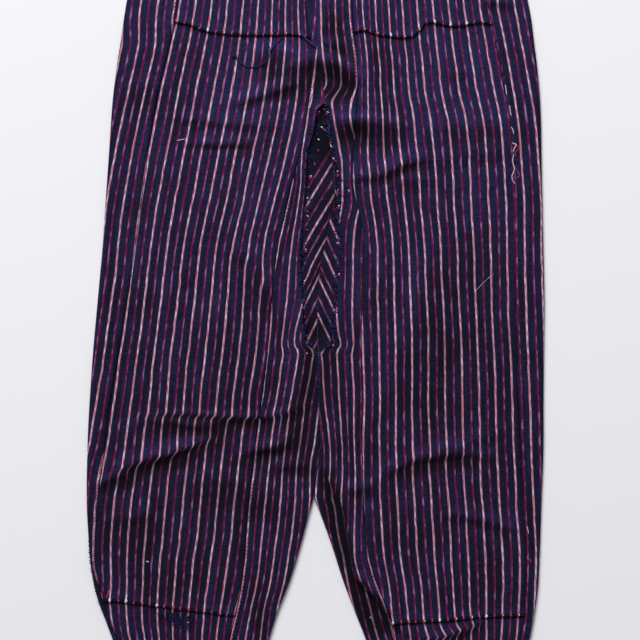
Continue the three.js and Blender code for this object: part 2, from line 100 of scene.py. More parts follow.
# Each leg's outer edge and the two long seams of its front panel, with the stripe count at each seam and how
# far the stripes between them bow to the right.
legColumns = ("y", "edge", "outerSeam", "innerSeam", "outerStripe", "innerStripe", "bow")
legs = {
    "left": {"side": -1, "sections": table(legColumns, [
        (460, -211.8, -154.2, -10.2, -0.15, 8.7, 7),
        (430, -216.6, -158.4, -10.6, -0.15, 8.7, 7),
        (386, -226.8, -165.6, -11.6, -0.16, 8.72, 7.5),
        (361, -231, -169.8, -10.8, -0.16, 8.75, 7.2),
        (331, -235.2, -175.2, -6, -0.1, 8.88, 6),
        (313, -238.2, -179.4, -5.4, -0.1, 8.88, 4.8),
        (265, -244.2, -190.8, -9.6, -0.13, 8.72, 2.4),
        (205, -248.4, -201, -18.6, -0.06, 8.88, 1.8),
        (145, -252.6, -209.4, -34.8, 0.02, 8.86, 3.4),
        (85, -256.8, -217.8, -46.8, 0.04, 9, 2.4),
        (25, -262.2, -226.2, -53.4, -0.03, 8.75, 0.4),
        (-35, -267.6, -235.8, -58.2, -0.07, 8.74, 0.2),
        (-95, -271.8, -246, -65.4, -0.15, 8.88, 1),
        (-143, -274.2, -252.6, -72.6, -0.12, 8.88, -0.5),
        (-215, -275.4, -261, -81, 0.1, 8.81, 0),
        (-263, -273, -264.4, -84.6, 0.12, 8.86, -0.6),
        (-287, -271.2, -264.4, -86.6, 0.14, 8.92, -2),
        (-311, -267.6, -261.6, -89.6, 0.24, 8.92, -2.4),
        (-335, -261.6, -255.8, -93.8, 0.56, 8.97, -1.2),
        (-359, -252.6, -246.8, -99.2, 0.9, 9, 0),
        (-383, -243.6, -237.8, -104.6, 1.1, 8.9, 0),
        (-436, -224, -217, -113.4, 1.4, 8.7, 0),
        (-460, -219, -212, -115.8, 1.4, 8.7, 0),
    ])},
    "right": {"side": 1, "sections": table(legColumns, [
        (460, 238.2, 192.6, 40.2, 8.55, -0.8, -7),
        (430, 243, 197.4, 41.4, 8.55, -0.8, -7),
        (386, 252.6, 205.2, 42.6, 8.56, -0.8, -7.4),
        (361, 257.4, 210, 43.8, 8.6, -0.8, -8),
        (331, 261, 216, 46.8, 8.64, -0.82, -10),
        (313, 263.4, 219.6, 48.6, 8.66, -0.84, -10.6),
        (277, 267, 226, 49.6, 8.66, -0.8, -10.6),
        (241, 268.8, 231.6, 47.6, 8.57, -0.82, -6),
        (205, 269.4, 234.6, 45, 8.55, -0.85, -3),
        (169, 270, 237, 43.6, 8.56, -1, -1.2),
        (145, 270.6, 238.2, 47.4, 8.57, -0.93, -1.8),
        (115, 271.2, 238.4, 54.6, 8.53, -0.84, -2.8),
        (85, 271.8, 238.4, 56.4, 8.5, -0.9, -2.6),
        (25, 273, 238.8, 54.6, 8.45, -0.92, 0.4),
        (-35, 272.4, 240, 54, 8.4, -1.08, 0),
        (-95, 272, 241.8, 54.6, 8.36, -1.12, -2.2),
        (-155, 271.8, 244.8, 55.2, 8.4, -1.05, -2.4),
        (-215, 269.6, 248.4, 57, 8.45, -0.97, 0),
        (-263, 268, 251, 60, 8.42, -0.95, -0.2),
        (-287, 267, 251.4, 64.2, 8.4, -0.92, -1.4),
        (-314, 265.8, 251.2, 72.6, 8.41, -0.76, -1.6),
        (-335, 263.4, 250.2, 81.6, 8.42, -0.4, -0.6),
        (-359, 259.8, 248.4, 89.4, 8.42, -0.1, 0),
        (-383, 255, 244, 93.6, 8.3, 0, 2),
        (-436, 240, 230, 99, 8.3, 0.3, 0),
        (-460, 234, 224, 101, 8.3, 0.3, 0),
    ])},
}

# Stripes on the flap that wraps round the inside of each leg, counted from its seam to the inside edge.
innerFlap = {
    "left": table(("y", "atSeam", "atInside"), [
        (460, 0.1, 0.5), (361, 0.1, 0.5), (313, 0.7, 1.2), (265, 0.9, 1.6), (205, 0.85, 1.5),
        (187, 0.5, 1.55), (163, -0.1, 1.6), (85, -0.1, 1.7), (25, -0.05, 1.9), (-23, -0.05, 2.9),
        (-71, -0.05, 3.45), (-119, -0.1, 4), (-167, -0.15, 4.35), (-203, -0.1, 4.1),
        (-239, -0.05, 3.75), (-287, -0.1, 3.4), (-335, -0.1, 3.05), (-383, -0.1, 2.4), (-460, 0, 1.9),
    ]),
    "right": table(("y", "atSeam", "atInside"), [
        (460, 0.8, 3.3), (361, 0.8, 3.3), (313, 0.9, 3.3), (283, 0.9, 3.2), (265, 0.7, 2.4),
        (241, 0.6, 2.3), (205, 1.2, 2.35), (145, 1.2, 2.2), (115, 0.6, 1.95), (85, 0.4, 1.85),
        (25, 0.4, 1.95), (-11, 0.4, 2.3), (-35, 0.4, 2.95), (-95, 0.4, 3.25), (-143, 0.4, 3.5),
        (-172, 0.4, 3.7), (-190, 0.4, 3.88), (-208, 0.38, 4.08), (-222, 0.34, 4),
        (-240, 0.26, 3.85), (-263, 0.08, 3.6), (-290, -0.1, 3.4), (-383, -0.1, 2.7), (-460, 0.1, 2.5),
    ]),
}
# The same count at the outer seam, where the flap that wraps round the leg's outer edge starts.
outerFlap = {
    "left": table(("y", "atSeam"), [
        (460, -0.15), (367, -0.15), (331, 0.1), (277, 0.15), (241, 0.12), (205, 0.05), (133, -0.03),
        (61, 0.06), (-10, 0.08), (-82, 0.16), (-143, 0.1), (-180, -0.1), (-263, -0.09), (-300, -0.06),
        (-320, 0.1), (-460, 0.1)]),
    "right": table(("y", "atSeam"), [
        (460, 0.5), (313, 0.53), (205, 0.53), (133, 0.48), (61, 0.42), (-10, 0.36), (-118, 0.34),
        (-190, 0.42), (-262, 0.45), (-460, 0.45)]),
}
backStripes = 18

# Height of the hip and knee seams across a front panel, from its outer seam to its inner seam.
crossSeams = {
    "left": {
        "hip": table(("across", "y"), [
            (0, 358.8), (0.09, 356.4), (0.19, 350.4), (0.31, 345.6), (0.6, 342.6), (0.88, 343.2), (1, 340)]),
        "knee": table(("across", "y"), [
            (0, -334.8), (0.12, -334.8), (0.23, -337.2), (0.44, -340.8), (0.6, -345), (0.78, -348),
            (1, -352.8)]),
    },
    "right": {
        "hip": table(("across", "y"), [
            (0, 356.4), (0.1, 357.6), (0.28, 354), (0.47, 357.6), (0.53, 349.2), (0.6, 340.8), (0.82, 343.2),
            (0.94, 349), (1, 345.6)]),
        "knee": table(("across", "y"), [
            (0, -351.6), (0.33, -354), (0.48, -356.4), (0.7, -358.8), (1, -361.2)]),
    },
}

# The seam down the middle of the gusset.
gussetSeam = table(("y", "x"), [
    (262, 10.2), (253, 11.4), (229, 14.5), (205, 17.3), (187, 20), (157, 21.6), (135, 19.4), (119, 15.6),
    (102, 12.2), (86, 9.2), (73, 6.2), (53, 3.6), (29, 1.8), (1, 1), (-20, 1.2), (-39, 2.2)])


def readTable(rows, key, at, along="y"):
    knots, values = rows[along], rows[key]
    if knots[0] > knots[-1]:
        knots, values = knots[::-1], values[::-1]
    at = np.clip(at, knots[0], knots[-1])
    slopes = np.empty_like(values)
    slopes[1:-1] = (values[2:] - values[:-2]) / (knots[2:] - knots[:-2])
    slopes[0] = (values[1] - values[0]) / (knots[1] - knots[0])
    slopes[-1] = (values[-1] - values[-2]) / (knots[-1] - knots[-2])
    i = np.clip(np.searchsorted(knots, at, side="right") - 1, 0, len(knots) - 2)
    step = knots[i + 1] - knots[i]
    t = (at - knots[i]) / step
    return ((2 * t**3 - 3 * t**2 + 1) * values[i] + (t**3 - 2 * t**2 + t) * step * slopes[i]
            + (3 * t**2 - 2 * t**3) * values[i + 1] + (t**3 - t**2) * step * slopes[i + 1])


def insideEdge(leg, y):
    half = np.maximum(0, readTable(spine, "half", y))
    return readTable(spine, "centre", y) + leg["side"] * (half + halfGap)


def legLine(leg, key, y):
    return readTable(leg["sections"], key, y)


def blend(a, b, t):
    return a + (b - a) * t


def easeIn(t):
    t = np.clip(t, 0, 1)
    return t * t * (3 - 2 * t)


def mound(distance, width):
    return np.exp(-((distance / width) ** 2))


def unevenness(x, y, size, seed):
    # smooth seeded hills and hollows between -1 and 1, about as wide as size
    heights = np.random.default_rng(seed).uniform(-1, 1, (64, 64))
    u, v = x / size + 31, y / size + 31
    i, j = np.floor(u).astype(int), np.floor(v).astype(int)
    fu, fv = easeIn(u - i), easeIn(v - j)
    corner = lambda a, b: heights[(i + a) % 64, (j + b) % 64]
    return blend(blend(corner(0, 0), corner(1, 0), fu), blend(corner(0, 1), corner(1, 1), fu), fv)


def rumpled(rows, x, y):
    # the sum of several sizes of unevenness: how strong, how wide and the seed of each
    return sum(strength * unevenness(x, y, size, seed) for strength, size, seed in rows)


# The crease where the upper layer of the right leg's inner flap ends, and the stripe count below it at the
# leg's inside edge.
overhang = table(("y", "x", "atInside"), [
    (-172, 6, 3.7), (-190.8, 16.2, 3.88), (-207, 24.4, 4.08), (-222, 31, 4), (-250.8, 36.6, 3.66),
    (-280.8, 42.6, 3.46), (-301.2, 46.2, 3.32), (-316.8, 59.4, 3.2), (-334.8, 76.2, 3.05),
    (-358.8, 90.6, 2.87), (-378, 104, 2.75)])

# Folds of the front. Each crest runs through its points. The cloth rises gently over upper above it and drops
# over lower below it into a trough. shift moves the stripes to the right just above the crest, over reach.
foldColumns = ("name", "crest", "height", "upper", "lower", "trough", "shift", "reach")
folds = [dict(zip(foldColumns, row)) for row in (
    ("left hip bend", [(-104, 258), (-86, 265), (-52, 276), (-8, 290)], 3.4, 12, 5, 0.5, 0, 30),
    ("left rise hollow", [(-84, 318), (-56, 326), (-30, 320), (4, 312)], 3.2, 10, 19, 0.4, 0, 30),
    ("left rise groove", [(-40, 300), (-16, 310), (8, 318)], 3, 7, 8, 0.6, 0, 30),
    ("left hip patch", [(-246, 282), (-206, 284), (-170, 278)], 1.6, 10, 12, 0.4, 0, 30),
    ("left thigh faint", [(-190, 247), (-140, 241), (-92, 236), (-39, 234)], 1.9, 9, 4.5, 0.6, 0.6, 14),
    ("left thigh crease", [(-164, 214), (-116, 212), (-70, 214)], 2.2, 7, 3.4, 0.6, 1, 14),
    ("left thigh kink", [(-112, 88), (-84, 82), (-60, 46), (-37, -6)], 2.4, 12, 11, 0.4, 3.4, 46),
    ("left knee high", [(-216, -112), (-169, -110), (-113, -113), (-68, -114), (-38, -108), (-6, -98)],
     3.2, 5, 5, 0.5, 4.4, 32),
    ("left knee second", [(-214, -118), (-176, -121), (-134, -124), (-90, -118)], 3.6, 6, 5.5, 0.6, 0, 20),
    ("left knee low", [(-250, -180), (-212, -168), (-170, -156), (-134, -142), (-113, -130)],
     5.4, 12, 6.5, 0.45, 6, 30),
    ("left knee side", [(-272, -198), (-245, -188), (-214, -180)], 3, 8, 6, 0.5, 0, 20),
    ("left knee inner", [(-109, -163), (-65, -154), (-27, -144)], 1.9, 9, 5.5, 0.6, 0.5, 20),
    ("left shin slope", [(-150, -186), (-100, -190), (-60, -206), (-34, -226)], 2.2, 14, 18, 0.3, 0, 20),
    ("left shin faint", [(-262, -239), (-229, -235), (-193, -229)], 1.8, 8, 6, 0.4, 0.6, 14),
    ("left shin hollow", [(-214, -356), (-226, -293), (-240, -232)], 1.6, 10, 18, 0.4, 0, 20),
    ("left shin blotch", [(-196, -350), (-176, -346), (-150, -352)], 2.2, 6, 6, 0.5, 0, 20),
    ("left inner roll", [(-44, -190), (-38, -119), (-23, -77), (-16, -5), (-17, 20)],
     3.4, 13, 11, 0.4, 0, 20),
    ("left inner crease", [(-70, -180), (-78, -236), (-86, -300), (-92, -344)], 1, 7, 5, 0.4, 0, 20),
    ("left inner foot", [(-50, -316), (-56, -350), (-64, -400)], 3, 5, 6, 0.4, 0, 20),
    ("crotch crossing", [(-65, -174), (-20, -172), (28, -175)], 1.9, 9, 5, 0.6, 0, 20),
    ("crotch diagonal", [(-86, -152), (-50, -148), (-22, -132)], 2.4, 8, 6, 0.5, 0, 20),
    ("rise hollow", [(-8, 312), (20, 312), (40, 300), (60, 286)], 7.5, 8, 13, 0.5, 0, 20),
    ("rise upper hollow", [(4, 330), (22, 334), (38, 326)], 4.5, 6, 9, 0.5, 0, 20),
    ("rise side", [(-2, 300), (-6, 272), (-4, 244)], 3.6, 6, 6, 0.6, 0, 20),
    ("rise roll", [(9, 318), (7, 349), (7, 386)], 3.5, 9, 6, 0.6, 0, 20),
    ("rise beside", [(16, 290), (20, 340), (14, 386)], 2, 6, 6, 0.6, 0, 20),
    ("right crotch hollow", [(2, 236), (30, 240), (56, 241), (84, 237), (110, 233)], 5, 9, 11.5, 0.35, 0, 20),
    ("right crotch tail", [(100, 238), (150, 234), (210, 236), (262, 232)], 1.7, 12, 10, 0.3, 0, 26),
    ("right thigh bulge", [(40, 172), (76, 176), (108, 190), (140, 196)], 3.8, 15, 5, 0.5, 1.5, 26),
    ("right thigh far", [(120, 192), (176, 200), (250, 212)], 1.5, 12, 7, 0.5, 0.6, 26),
    ("right thigh low", [(84, 168), (116, 170), (156, 166)], 1.6, 8, 7, 0.5, 0, 26),
    ("right thigh ridge", [(70, -120), (104, -30), (136, 50), (172, 150)], 2.2, 30, 24, 0.2, 0, 26),
    ("right hip fold", [(66, 272), (62, 311), (64, 344)], 2.4, 6, 9, 0.4, 0, 26),
    ("right hip patch", [(146, 300), (187, 298)], 1.3, 10, 10, 0.3, 0, 26),
    ("right hip top", [(194, 380), (217, 383), (242, 378)], 3, 8, 5, 0.6, 0.8, 16),
    ("right knee", [(69, -190), (91, -177), (124, -164), (175, -158), (216, -164)],
     3.8, 11, 6, 0.45, 1.8, 40),
    ("right knee high", [(124, -152), (176, -146), (232, -128)], 1.6, 8, 5, 0.4, 0, 20),
    ("right knee inner", [(33, -202), (55, -198), (79, -190)], 2.4, 8, 6, 0.5, 0, 20),
    ("right shin crease", [(143, -228), (194, -236), (244, -252)], 2.4, 9, 5.5, 0.6, 0.8, 18),
    ("right inner overhang", list(zip(overhang["x"], overhang["y"])), 4.5, 14, 3.5, 0.9, 0, 10),
    ("right inner shadow", [(20, -166), (35, -206), (44, -250), (50, -296)], 4.2, 5, 9, 0.4, 0, 10),
    ("right inner hollow", [(44, -298), (62, -314), (80, -334), (102, -372)], 5.5, 5, 11, 0.4, 0, 10),
    ("right shin pucker", [(122, -380), (150, -378), (178, -368), (204, -358)], 2.4, 7, 5, 0.6, 6, 9),
)]
# Creases of the back, pressed flat where it lies on the table, so all are low.
backFolds = [dict(zip(foldColumns, row)) for row in (
    ("left knee hollow", [(-236, -132), (-180, -146), (-118, -138), (-62, -150)], 0.9, 13, 6, 0.4, 4, 26),
    ("left knee upper", [(-214, -98), (-160, -108), (-104, -104)], 0.7, 10, 6, 0.4, 2, 18),
    ("left calf", [(-228, -206), (-168, -196), (-112, -212)], 0.8, 11, 6, 0.4, 2.5, 22),
    ("left seat", [(-232, 66), (-168, 52), (-96, 58), (-40, 84)], 0.9, 14, 8, 0.4, 3, 30),
    ("left seat high", [(-206, 182), (-140, 168), (-70, 176)], 0.7, 12, 7, 0.4, 2, 24),
    ("left hip", [(-214, 306), (-150, 296), (-88, 302)], 0.6, 12, 7, 0.4, 1.4, 20),
    ("right knee hollow", [(64, -148), (126, -138), (190, -142), (240, -128)], 0.9, 12, 6, 0.4, 3.4, 26),
    ("right knee upper", [(98, -96), (156, -90), (216, -104)], 0.6, 11, 6, 0.4, 1.6, 18),
    ("right calf", [(92, -222), (150, -210), (218, -220)], 0.8, 10, 6, 0.4, 2.5, 22),
    ("right seat", [(44, 92), (112, 60), (176, 56), (240, 74)], 0.9, 15, 8, 0.4, 3, 30),
    ("right seat high", [(78, 192), (150, 178), (222, 186)], 0.7, 12, 7, 0.4, 2, 24),
    ("right hip", [(86, 318), (150, 308), (212, 314)], 0.6, 12, 7, 0.4, 1.4, 20),
)]
overhangLook = {"lap": 1.5, "fade": 40}  # past the crease, and down from its top
pathSteps = 6


def smoothPath(points, steps):
    # a curve through the points, steps to each stretch
    p = np.array(points, float)
    ends = np.vstack([2 * p[0] - p[1], p, 2 * p[-1] - p[-2]])
    path = []
    for a, b, c, d in zip(ends, ends[1:], ends[2:], ends[3:]):
        for t in np.arange(steps) / steps:
            path.append(0.5 * (2 * b + (c - a) * t + (2 * a - 5 * b + 4 * c - d) * t**2
                               + (3 * b - a - 3 * c + d) * t**3))
    return np.array(path + [p[-1]])


def alongPath(path, x, y):
    # share of the way along the path that is nearest to each point, and the distance to its left
    length = np.hypot(*np.diff(path, axis=0).T)
    start = np.concatenate([[0], np.cumsum(length)])
    best = np.full(x.shape, np.inf)
    share = np.zeros(x.shape)
    offset = np.zeros(x.shape)
    for k, (a, b) in enumerate(zip(path, path[1:])):
        dx, dy = (b - a) / length[k]
        s = np.clip((x - a[0]) * dx + (y - a[1]) * dy, 0, length[k])
        gapX, gapY = x - a[0] - s * dx, y - a[1] - s * dy
        far = np.hypot(gapX, gapY)
        side = np.where(dx * gapY - dy * gapX >= 0, 1, -1)
        nearer = far < best
        best = np.where(nearer, far, best)
        share = np.where(nearer, (start[k] + s) / start[-1], share)
        offset = np.where(nearer, side * far, offset)
    return share, offset


for fold in folds + backFolds:
    fold["path"] = smoothPath(fold["crest"], pathSteps)

# Taper of a fold to its ends, where its trough lies and how far the stripes slide below its crest.
foldLook = {"taper": 0.7, "troughAt": 2.2, "slideBelow": 0.7}
# Painted highlight on the crests and painted shade in the hollows, placed in the fold's own reach to each
# side, and their patches.
paintedLightLook = {"fullHeight": 5.0, "crestAt": 0.45, "crestWide": 0.7, "crestHighlight": 0.6, "hollowAt": 1.5,
            "hollowWide": 1.7, "least": 0.85, "patches": [(0.45, 19, 7)]}


def foldForm(rows, x, y):
    # height of the folds, the sideways shift of the stripes, and painted light: painted highlight on crests
    # above 0, painted shade in hollows below
    height, shift, paintedLight = np.zeros(x.shape), np.zeros(x.shape), np.zeros(x.shape)
    for fold in rows:
        share, offset = alongPath(fold["path"], x, y)
        upper, lower = fold["upper"], fold["lower"]
        taper = np.sin(math.pi * np.clip(share, 0, 1)) ** foldLook["taper"]
        above = offset > 0
        rise = np.where(above, mound(offset, upper), mound(offset, lower))
        dip = fold["trough"] * mound(offset + foldLook["troughAt"] * lower, lower)
        height += fold["height"] * taper * (rise - dip)
        slide = np.where(above, np.exp(-np.abs(offset) / fold["reach"]),
                         mound(offset, foldLook["slideBelow"] * lower))
        shift += fold["shift"] * taper * slide
        # painted highlight just above each crest, painted shade in the hollow below it
        crestHighlight = mound(offset - paintedLightLook["crestAt"] * upper, paintedLightLook["crestWide"] * upper)
        hollow = mound(offset + paintedLightLook["hollowAt"] * lower, paintedLightLook["hollowWide"] * lower)
        paintedLight += fold["height"] / paintedLightLook["fullHeight"] * taper * (paintedLightLook["crestHighlight"] * crestHighlight - hollow)
    return height, shift, paintedLight * (paintedLightLook["least"] + rumpled(paintedLightLook["patches"], x, y))


hemGathers = {"perLeg": 6, "height": 2.6, "reach": 62}
# The cross seam keys crossShade, shadeWidth and shadeVary paint a shadow line below each cross seam.
seamForm = {"dip": 1.0, "dipWidth": 1.8, "ridge": 0.8, "ridgeWidth": 7.0, "ridgeAt": 4, "crossRidge": 2.0,
            "crossAbove": 6.0, "crossBelow": 1.5, "crossShade": 1.3, "shadeWidth": 1.2,
            "shadeVary": (0.6, 9, 14)}
gussetRoll = {"height": 3.0, "width": 8.0}
# Hills and hollows of the laid front, and the small waves of its stripes in stripe counts.
frontRumples = [(1.6, 62, 2), (0.9, 31, 3), (0.5, 16, 4), (0.22, 8, 5)]
stripeWaves = [(0.035, 46, 11), (0.018, 15, 12)]
# Paler towards the waist and darker towards the hems: by how much, from what height and over how far.
waistToHemTone = {"paler": 0.26, "palerFrom": 110, "palerOver": 160, "darker": 0.18, "darkerFrom": 90,
             "darkerOver": 200}


def frontTop(leg, x, y):
    # outer face of the layer that lies on the back layer
    radius = garment["edgeFold"] / 2
    edge, inside = legLine(leg, "edge", y), insideEdge(leg, y)
    fromEdge = np.abs(edge - x) - radius
    fromInside = np.abs(x - inside)
    ease = lambda d: 0.5 + 0.5 * np.cos(math.pi * np.clip(d / garment["edgeEase"], 0, 1))
    parted = y < garment["crotch"]
    besideGusset = (y >= garment["crotch"]) & (y < garment["gussetTop"])
    roll = np.maximum(ease(fromEdge), np.where(parted, ease(fromInside - radius), 0))
    clear = easeIn(fromEdge / garment["edgeClear"])
    clear = clear * np.where(parted, easeIn((fromInside - radius) / garment["edgeClear"]), 1)
    ends = easeIn((panelTop - y) / garment["endClear"]) * easeIn((y - panelBottom) / garment["endClear"])
    height, shift, paintedLight = foldForm(folds, x, y)
    rough = rumpled(frontRumples, x, y)
    paintedLight = paintedLight + waistToHemTone["paler"] * easeIn((y - waistToHemTone["palerFrom"]) / waistToHemTone["palerOver"])
    paintedLight = paintedLight - waistToHemTone["darker"] * easeIn((waistToHemTone["darkerFrom"] - y) / waistToHemTone["darkerOver"])
    share = (x - inside) / (edge - inside)
    up = np.clip((y - panelBottom) / hemGathers["reach"], 0, 1)
    gathers = hemGathers["height"] * (1 - easeIn(up)) * (
        0.5 - 0.5 * np.cos(2 * math.pi * hemGathers["perLeg"] * share))
    beside = np.where(besideGusset, gussetRoll["height"] * mound(fromInside, gussetRoll["width"]), 0)
    top = laidFlat + (garment["edgeFold"] - laidFlat) * roll + beside
    top = top + ((height + rough + garment["air"]) * ends + gathers) * clear
    for seam, outward in (("outerSeam", leg["side"]), ("innerSeam", -leg["side"])):
        off = x - legLine(leg, seam, y)
        top = top + seamForm["ridge"] * mound(outward * off - seamForm["ridgeAt"], seamForm["ridgeWidth"] / 2)
        top = top - seamForm["dip"] * mound(off, seamForm["dipWidth"])
    return np.maximum(top, laidFlat * garment["pressed"]), shift, paintedLight


def addObject(name, data, at=(0, 0, 0)):
    thing = bpy.data.objects.new(name, data)
    thing.location = at
    bpy.context.scene.collection.objects.link(thing)
    return thing


def addMesh(name, points, faces):
    # a smooth mesh in the scene, from points in millimetres
    mesh = bpy.data.meshes.new(name)
    mesh.from_pydata((points * mm).tolist(), [], faces)
    mesh.polygons.foreach_set("use_smooth", np.ones(len(mesh.polygons), bool))
    return addObject(name, mesh)


def gridMesh(name, points, stripe, along, paintedLight, flip, keep=None):
    rows, columns = stripe.shape
    index = np.arange(rows * columns).reshape(rows, columns)
    quads = np.stack([index[:-1, :-1], index[1:, :-1], index[1:, 1:], index[:-1, 1:]], -1)
    quads = quads[keep] if keep is not None else quads.reshape(-1, 4)
    if flip:
        quads = quads[:, ::-1]
    used, corners = np.unique(quads, return_inverse=True)
    piece = addMesh(name, points.reshape(-1, 3)[used], corners.reshape(-1, 4).tolist())
    # the painted light, painted shade below 0 and painted highlight above, goes to the material in a UV
    # layer, 0.5 for neither
    shown = np.clip(0.5 + 0.5 * paintedLight, 0, 1)
    for layerName, across, down in (("Cloth", stripe, along), ("Painted light", shown, np.zeros(stripe.shape))):
        layer = piece.data.uv_layers.new(name=layerName)
        uv = np.stack([across.ravel()[used], down.ravel()[used]], -1)[corners.ravel()]
        layer.data.foreach_set("uv", uv.astype(np.float32).ravel())
    return piece


def thicken(piece, thickness):
    shell = piece.modifiers.new("thickness", "SOLIDIFY")
    shell.thickness = thickness * mm
    shell.offset = -1
    return piece


frontGrid = {"columns": 92, "step": 2.0}
bowSkew = 1.4  # the bow is widest nearer the inner seam


def frontFace(side, share, y):
    # x, height, stripe count and painted light of a front panel, at a share of the way across from its outer
    # seam
    leg = legs[side]
    start = legLine(leg, "outerSeam", y) - leg["side"] * halfGap
    end = legLine(leg, "innerSeam", y) + leg["side"] * halfGap
    x = blend(start, end, share)
    z, shift, paintedLight = frontTop(leg, x, y)
    below = seamForm["crossBelow"]
    for seam in ("hip", "knee"):
        off = y - readTable(crossSeams[side][seam], "y", share, "across")
        ridge = np.where(off > 0, mound(off, seamForm["crossAbove"]), mound(off, below))
        z = z + seamForm["crossRidge"] * ridge
        # painted shadow: a dark line just below each cross seam
        shadeWidth = seamForm["shadeWidth"] + rumpled([seamForm["shadeVary"]], x, y)
        paintedLight = paintedLight - seamForm["crossShade"] * mound(off + below, below * shadeWidth)
    stripe = blend(legLine(leg, "outerStripe", y), legLine(leg, "innerStripe", y), share)
    bow = readTable(leg["sections"], "bow", y) * np.sin(math.pi * share**bowSkew)
    return x, z, stripe - (shift + bow) / garment["pitch"] + rumpled(stripeWaves, x, y), paintedLight


def frontPanel(side, part, topAt, bottomAt):
    across = np.linspace(0, 1, frontGrid["columns"] + 1)
    top, bottom = topAt(across), bottomAt(across)
    rows = int(math.ceil((top.max() - bottom.min()) / frontGrid["step"]))
    y = blend(top[None, :], bottom[None, :], np.linspace(0, 1, rows + 1)[:, None])
    x, z, stripe, paintedLight = frontFace(side, np.broadcast_to(across, y.shape), y)
    points = np.stack([x, y, z], -1)
    piece = gridMesh(f"{side}Front{part}", points, stripe, y / garment["pitch"], paintedLight, side == "right")
    return thicken(piece, garment["shell"])


pieces = {}
for side in legs:
    seamAt = lambda name, s=side: (lambda across: readTable(crossSeams[s][name], "y", across, "across"))
    topLine = lambda across: np.full(across.shape, panelTop)
    bottomLine = lambda across: np.full(across.shape, panelBottom)
    hip, knee = seamAt("hip"), seamAt("knee")
    parts = {
        "Hip": (topLine, lambda across, f=hip: f(across) + halfGap),
        "Thigh": (lambda across, f=hip: f(across) - halfGap, lambda across, f=knee: f(across) + halfGap),
        "Shin": (lambda across, f=knee: f(across) - halfGap, bottomLine),
    }
    for part, (topAt, bottomAt) in parts.items():
        pieces[f"{side}_front_{part.lower()}"] = frontPanel(side, part, topAt, bottomAt)
print("front panels made")

backGrid = {"outerFlap": 18, "roll": 8, "underside": 44, "innerFlap": 34, "step": 2.7, "paintedLight": 4}


def backPanel(side):
    leg = legs[side]
    radius = garment["edgeFold"] / 2
    pitch = garment["pitch"]
    rows = int(math.ceil((panelTop - panelBottom) / backGrid["step"]))
    y = np.linspace(panelTop, panelBottom, rows + 1)[:, None]
    edge = legLine(leg, "edge", y) - leg["side"] * radius
    inside = insideEdge(leg, y)
    slit = y >= garment["crotch"]
    turn = np.where(slit, inside, inside + leg["side"] * radius)
    outerSeam = legLine(leg, "outerSeam", y) + leg["side"] * halfGap
    innerSeam = legLine(leg, "innerSeam", y) - leg["side"] * halfGap
    share = lambda n: np.linspace(0, 1, n + 1)[None, :]
    flapX = blend(outerSeam, edge, share(backGrid["outerFlap"]))
    flapZ, flapShift, flapPaintedLight = frontTop(leg, flapX, np.broadcast_to(y, flapX.shape))
    arc = np.linspace(math.pi / 2, -math.pi / 2, backGrid["roll"] + 1)[None, :]
    edgeTop = flapZ[:, -1:]
    outX = edge + leg["side"] * radius * np.cos(arc)
    outZ = edgeTop / 2 + edgeTop / 2 * np.sin(arc)
    underX = blend(edge, turn, share(backGrid["underside"]))
    underZ, underShift, underPaintedLight = foldForm(backFolds, underX, np.broadcast_to(y, underX.shape))
    innerX = blend(turn, innerSeam, share(backGrid["innerFlap"]))
    innerZ, innerShift, innerPaintedLight = frontTop(leg, innerX, np.broadcast_to(y, innerX.shape))
    inX = turn - leg["side"] * radius * np.cos(arc[:, ::-1])
    inZ = innerZ[:, :1] / 2 + innerZ[:, :1] / 2 * np.sin(arc[:, ::-1])
    x = np.hstack([flapX[:, :-1], outX[:, :-1], underX, inX[:, 1:-1], innerX])
    z = np.hstack([flapZ[:, :-1], outZ[:, :-1], np.clip(underZ, 0, 1), inZ[:, 1:-1], innerZ])
    start = readTable(outerFlap[side], "atSeam", y)
    flapStripe = start + np.abs(flapX - outerSeam) / pitch - leg["side"] * flapShift / pitch
    outStripe = flapStripe[:, -1:] + radius * (math.pi / 2 - arc) / pitch
    seamStripe = backStripes - readTable(innerFlap[side], "atSeam", y)
    insideStripe = backStripes - readTable(innerFlap[side], "atInside", y)
    innerStripe = blend(insideStripe, seamStripe, share(backGrid["innerFlap"]))
    if side == "right":
        rowsX = readTable(overhang, "x", y)
        upper = seamStripe - np.abs(innerX - innerSeam) / garment["ruckedPitch"]
        lower = backStripes - readTable(overhang, "atInside", y) + np.abs(innerX - inside) / pitch
        creased = np.where(innerX > rowsX - overhangLook["lap"], upper, lower)
        innerStripe = blend(innerStripe, creased, easeIn((overhang["y"][0] - y) / overhangLook["fade"]))
    innerStripe = innerStripe + leg["side"] * innerShift / pitch
    inStripe = innerStripe[:, :1] - radius * (math.pi / 2 - arc[:, ::-1]) / pitch
    underStripe = blend(outStripe[:, -1:], inStripe[:, :1], share(backGrid["underside"])) + underShift / pitch
    # painted light of the back: the painted shade and highlight of its folds, none on the rolled edges
    paintedLight = np.hstack([flapPaintedLight[:, :-1], outZ[:, :-1] * 0, backGrid["paintedLight"] * underPaintedLight, inZ[:, 1:-1] * 0,
                      innerPaintedLight])
    rowsY = np.broadcast_to(y, x.shape)
    stripe = np.hstack([flapStripe[:, :-1], outStripe[:, :-1], underStripe, inStripe[:, 1:-1], innerStripe])
    stripe = stripe + rumpled(stripeWaves, x, rowsY)
    slitFrom = backGrid["outerFlap"] + backGrid["roll"] + backGrid["underside"]
    keep = np.ones((x.shape[0] - 1, x.shape[1] - 1), bool)
    keep[y[:-1, 0] > garment["crotch"], slitFrom:slitFrom + backGrid["roll"]] = False
    points = np.stack([x, rowsY, z], -1)
    piece = gridMesh(f"{side}Back", points, stripe, rowsY / pitch, paintedLight, side == "left", keep)
    return thicken(piece, garment["shell"])


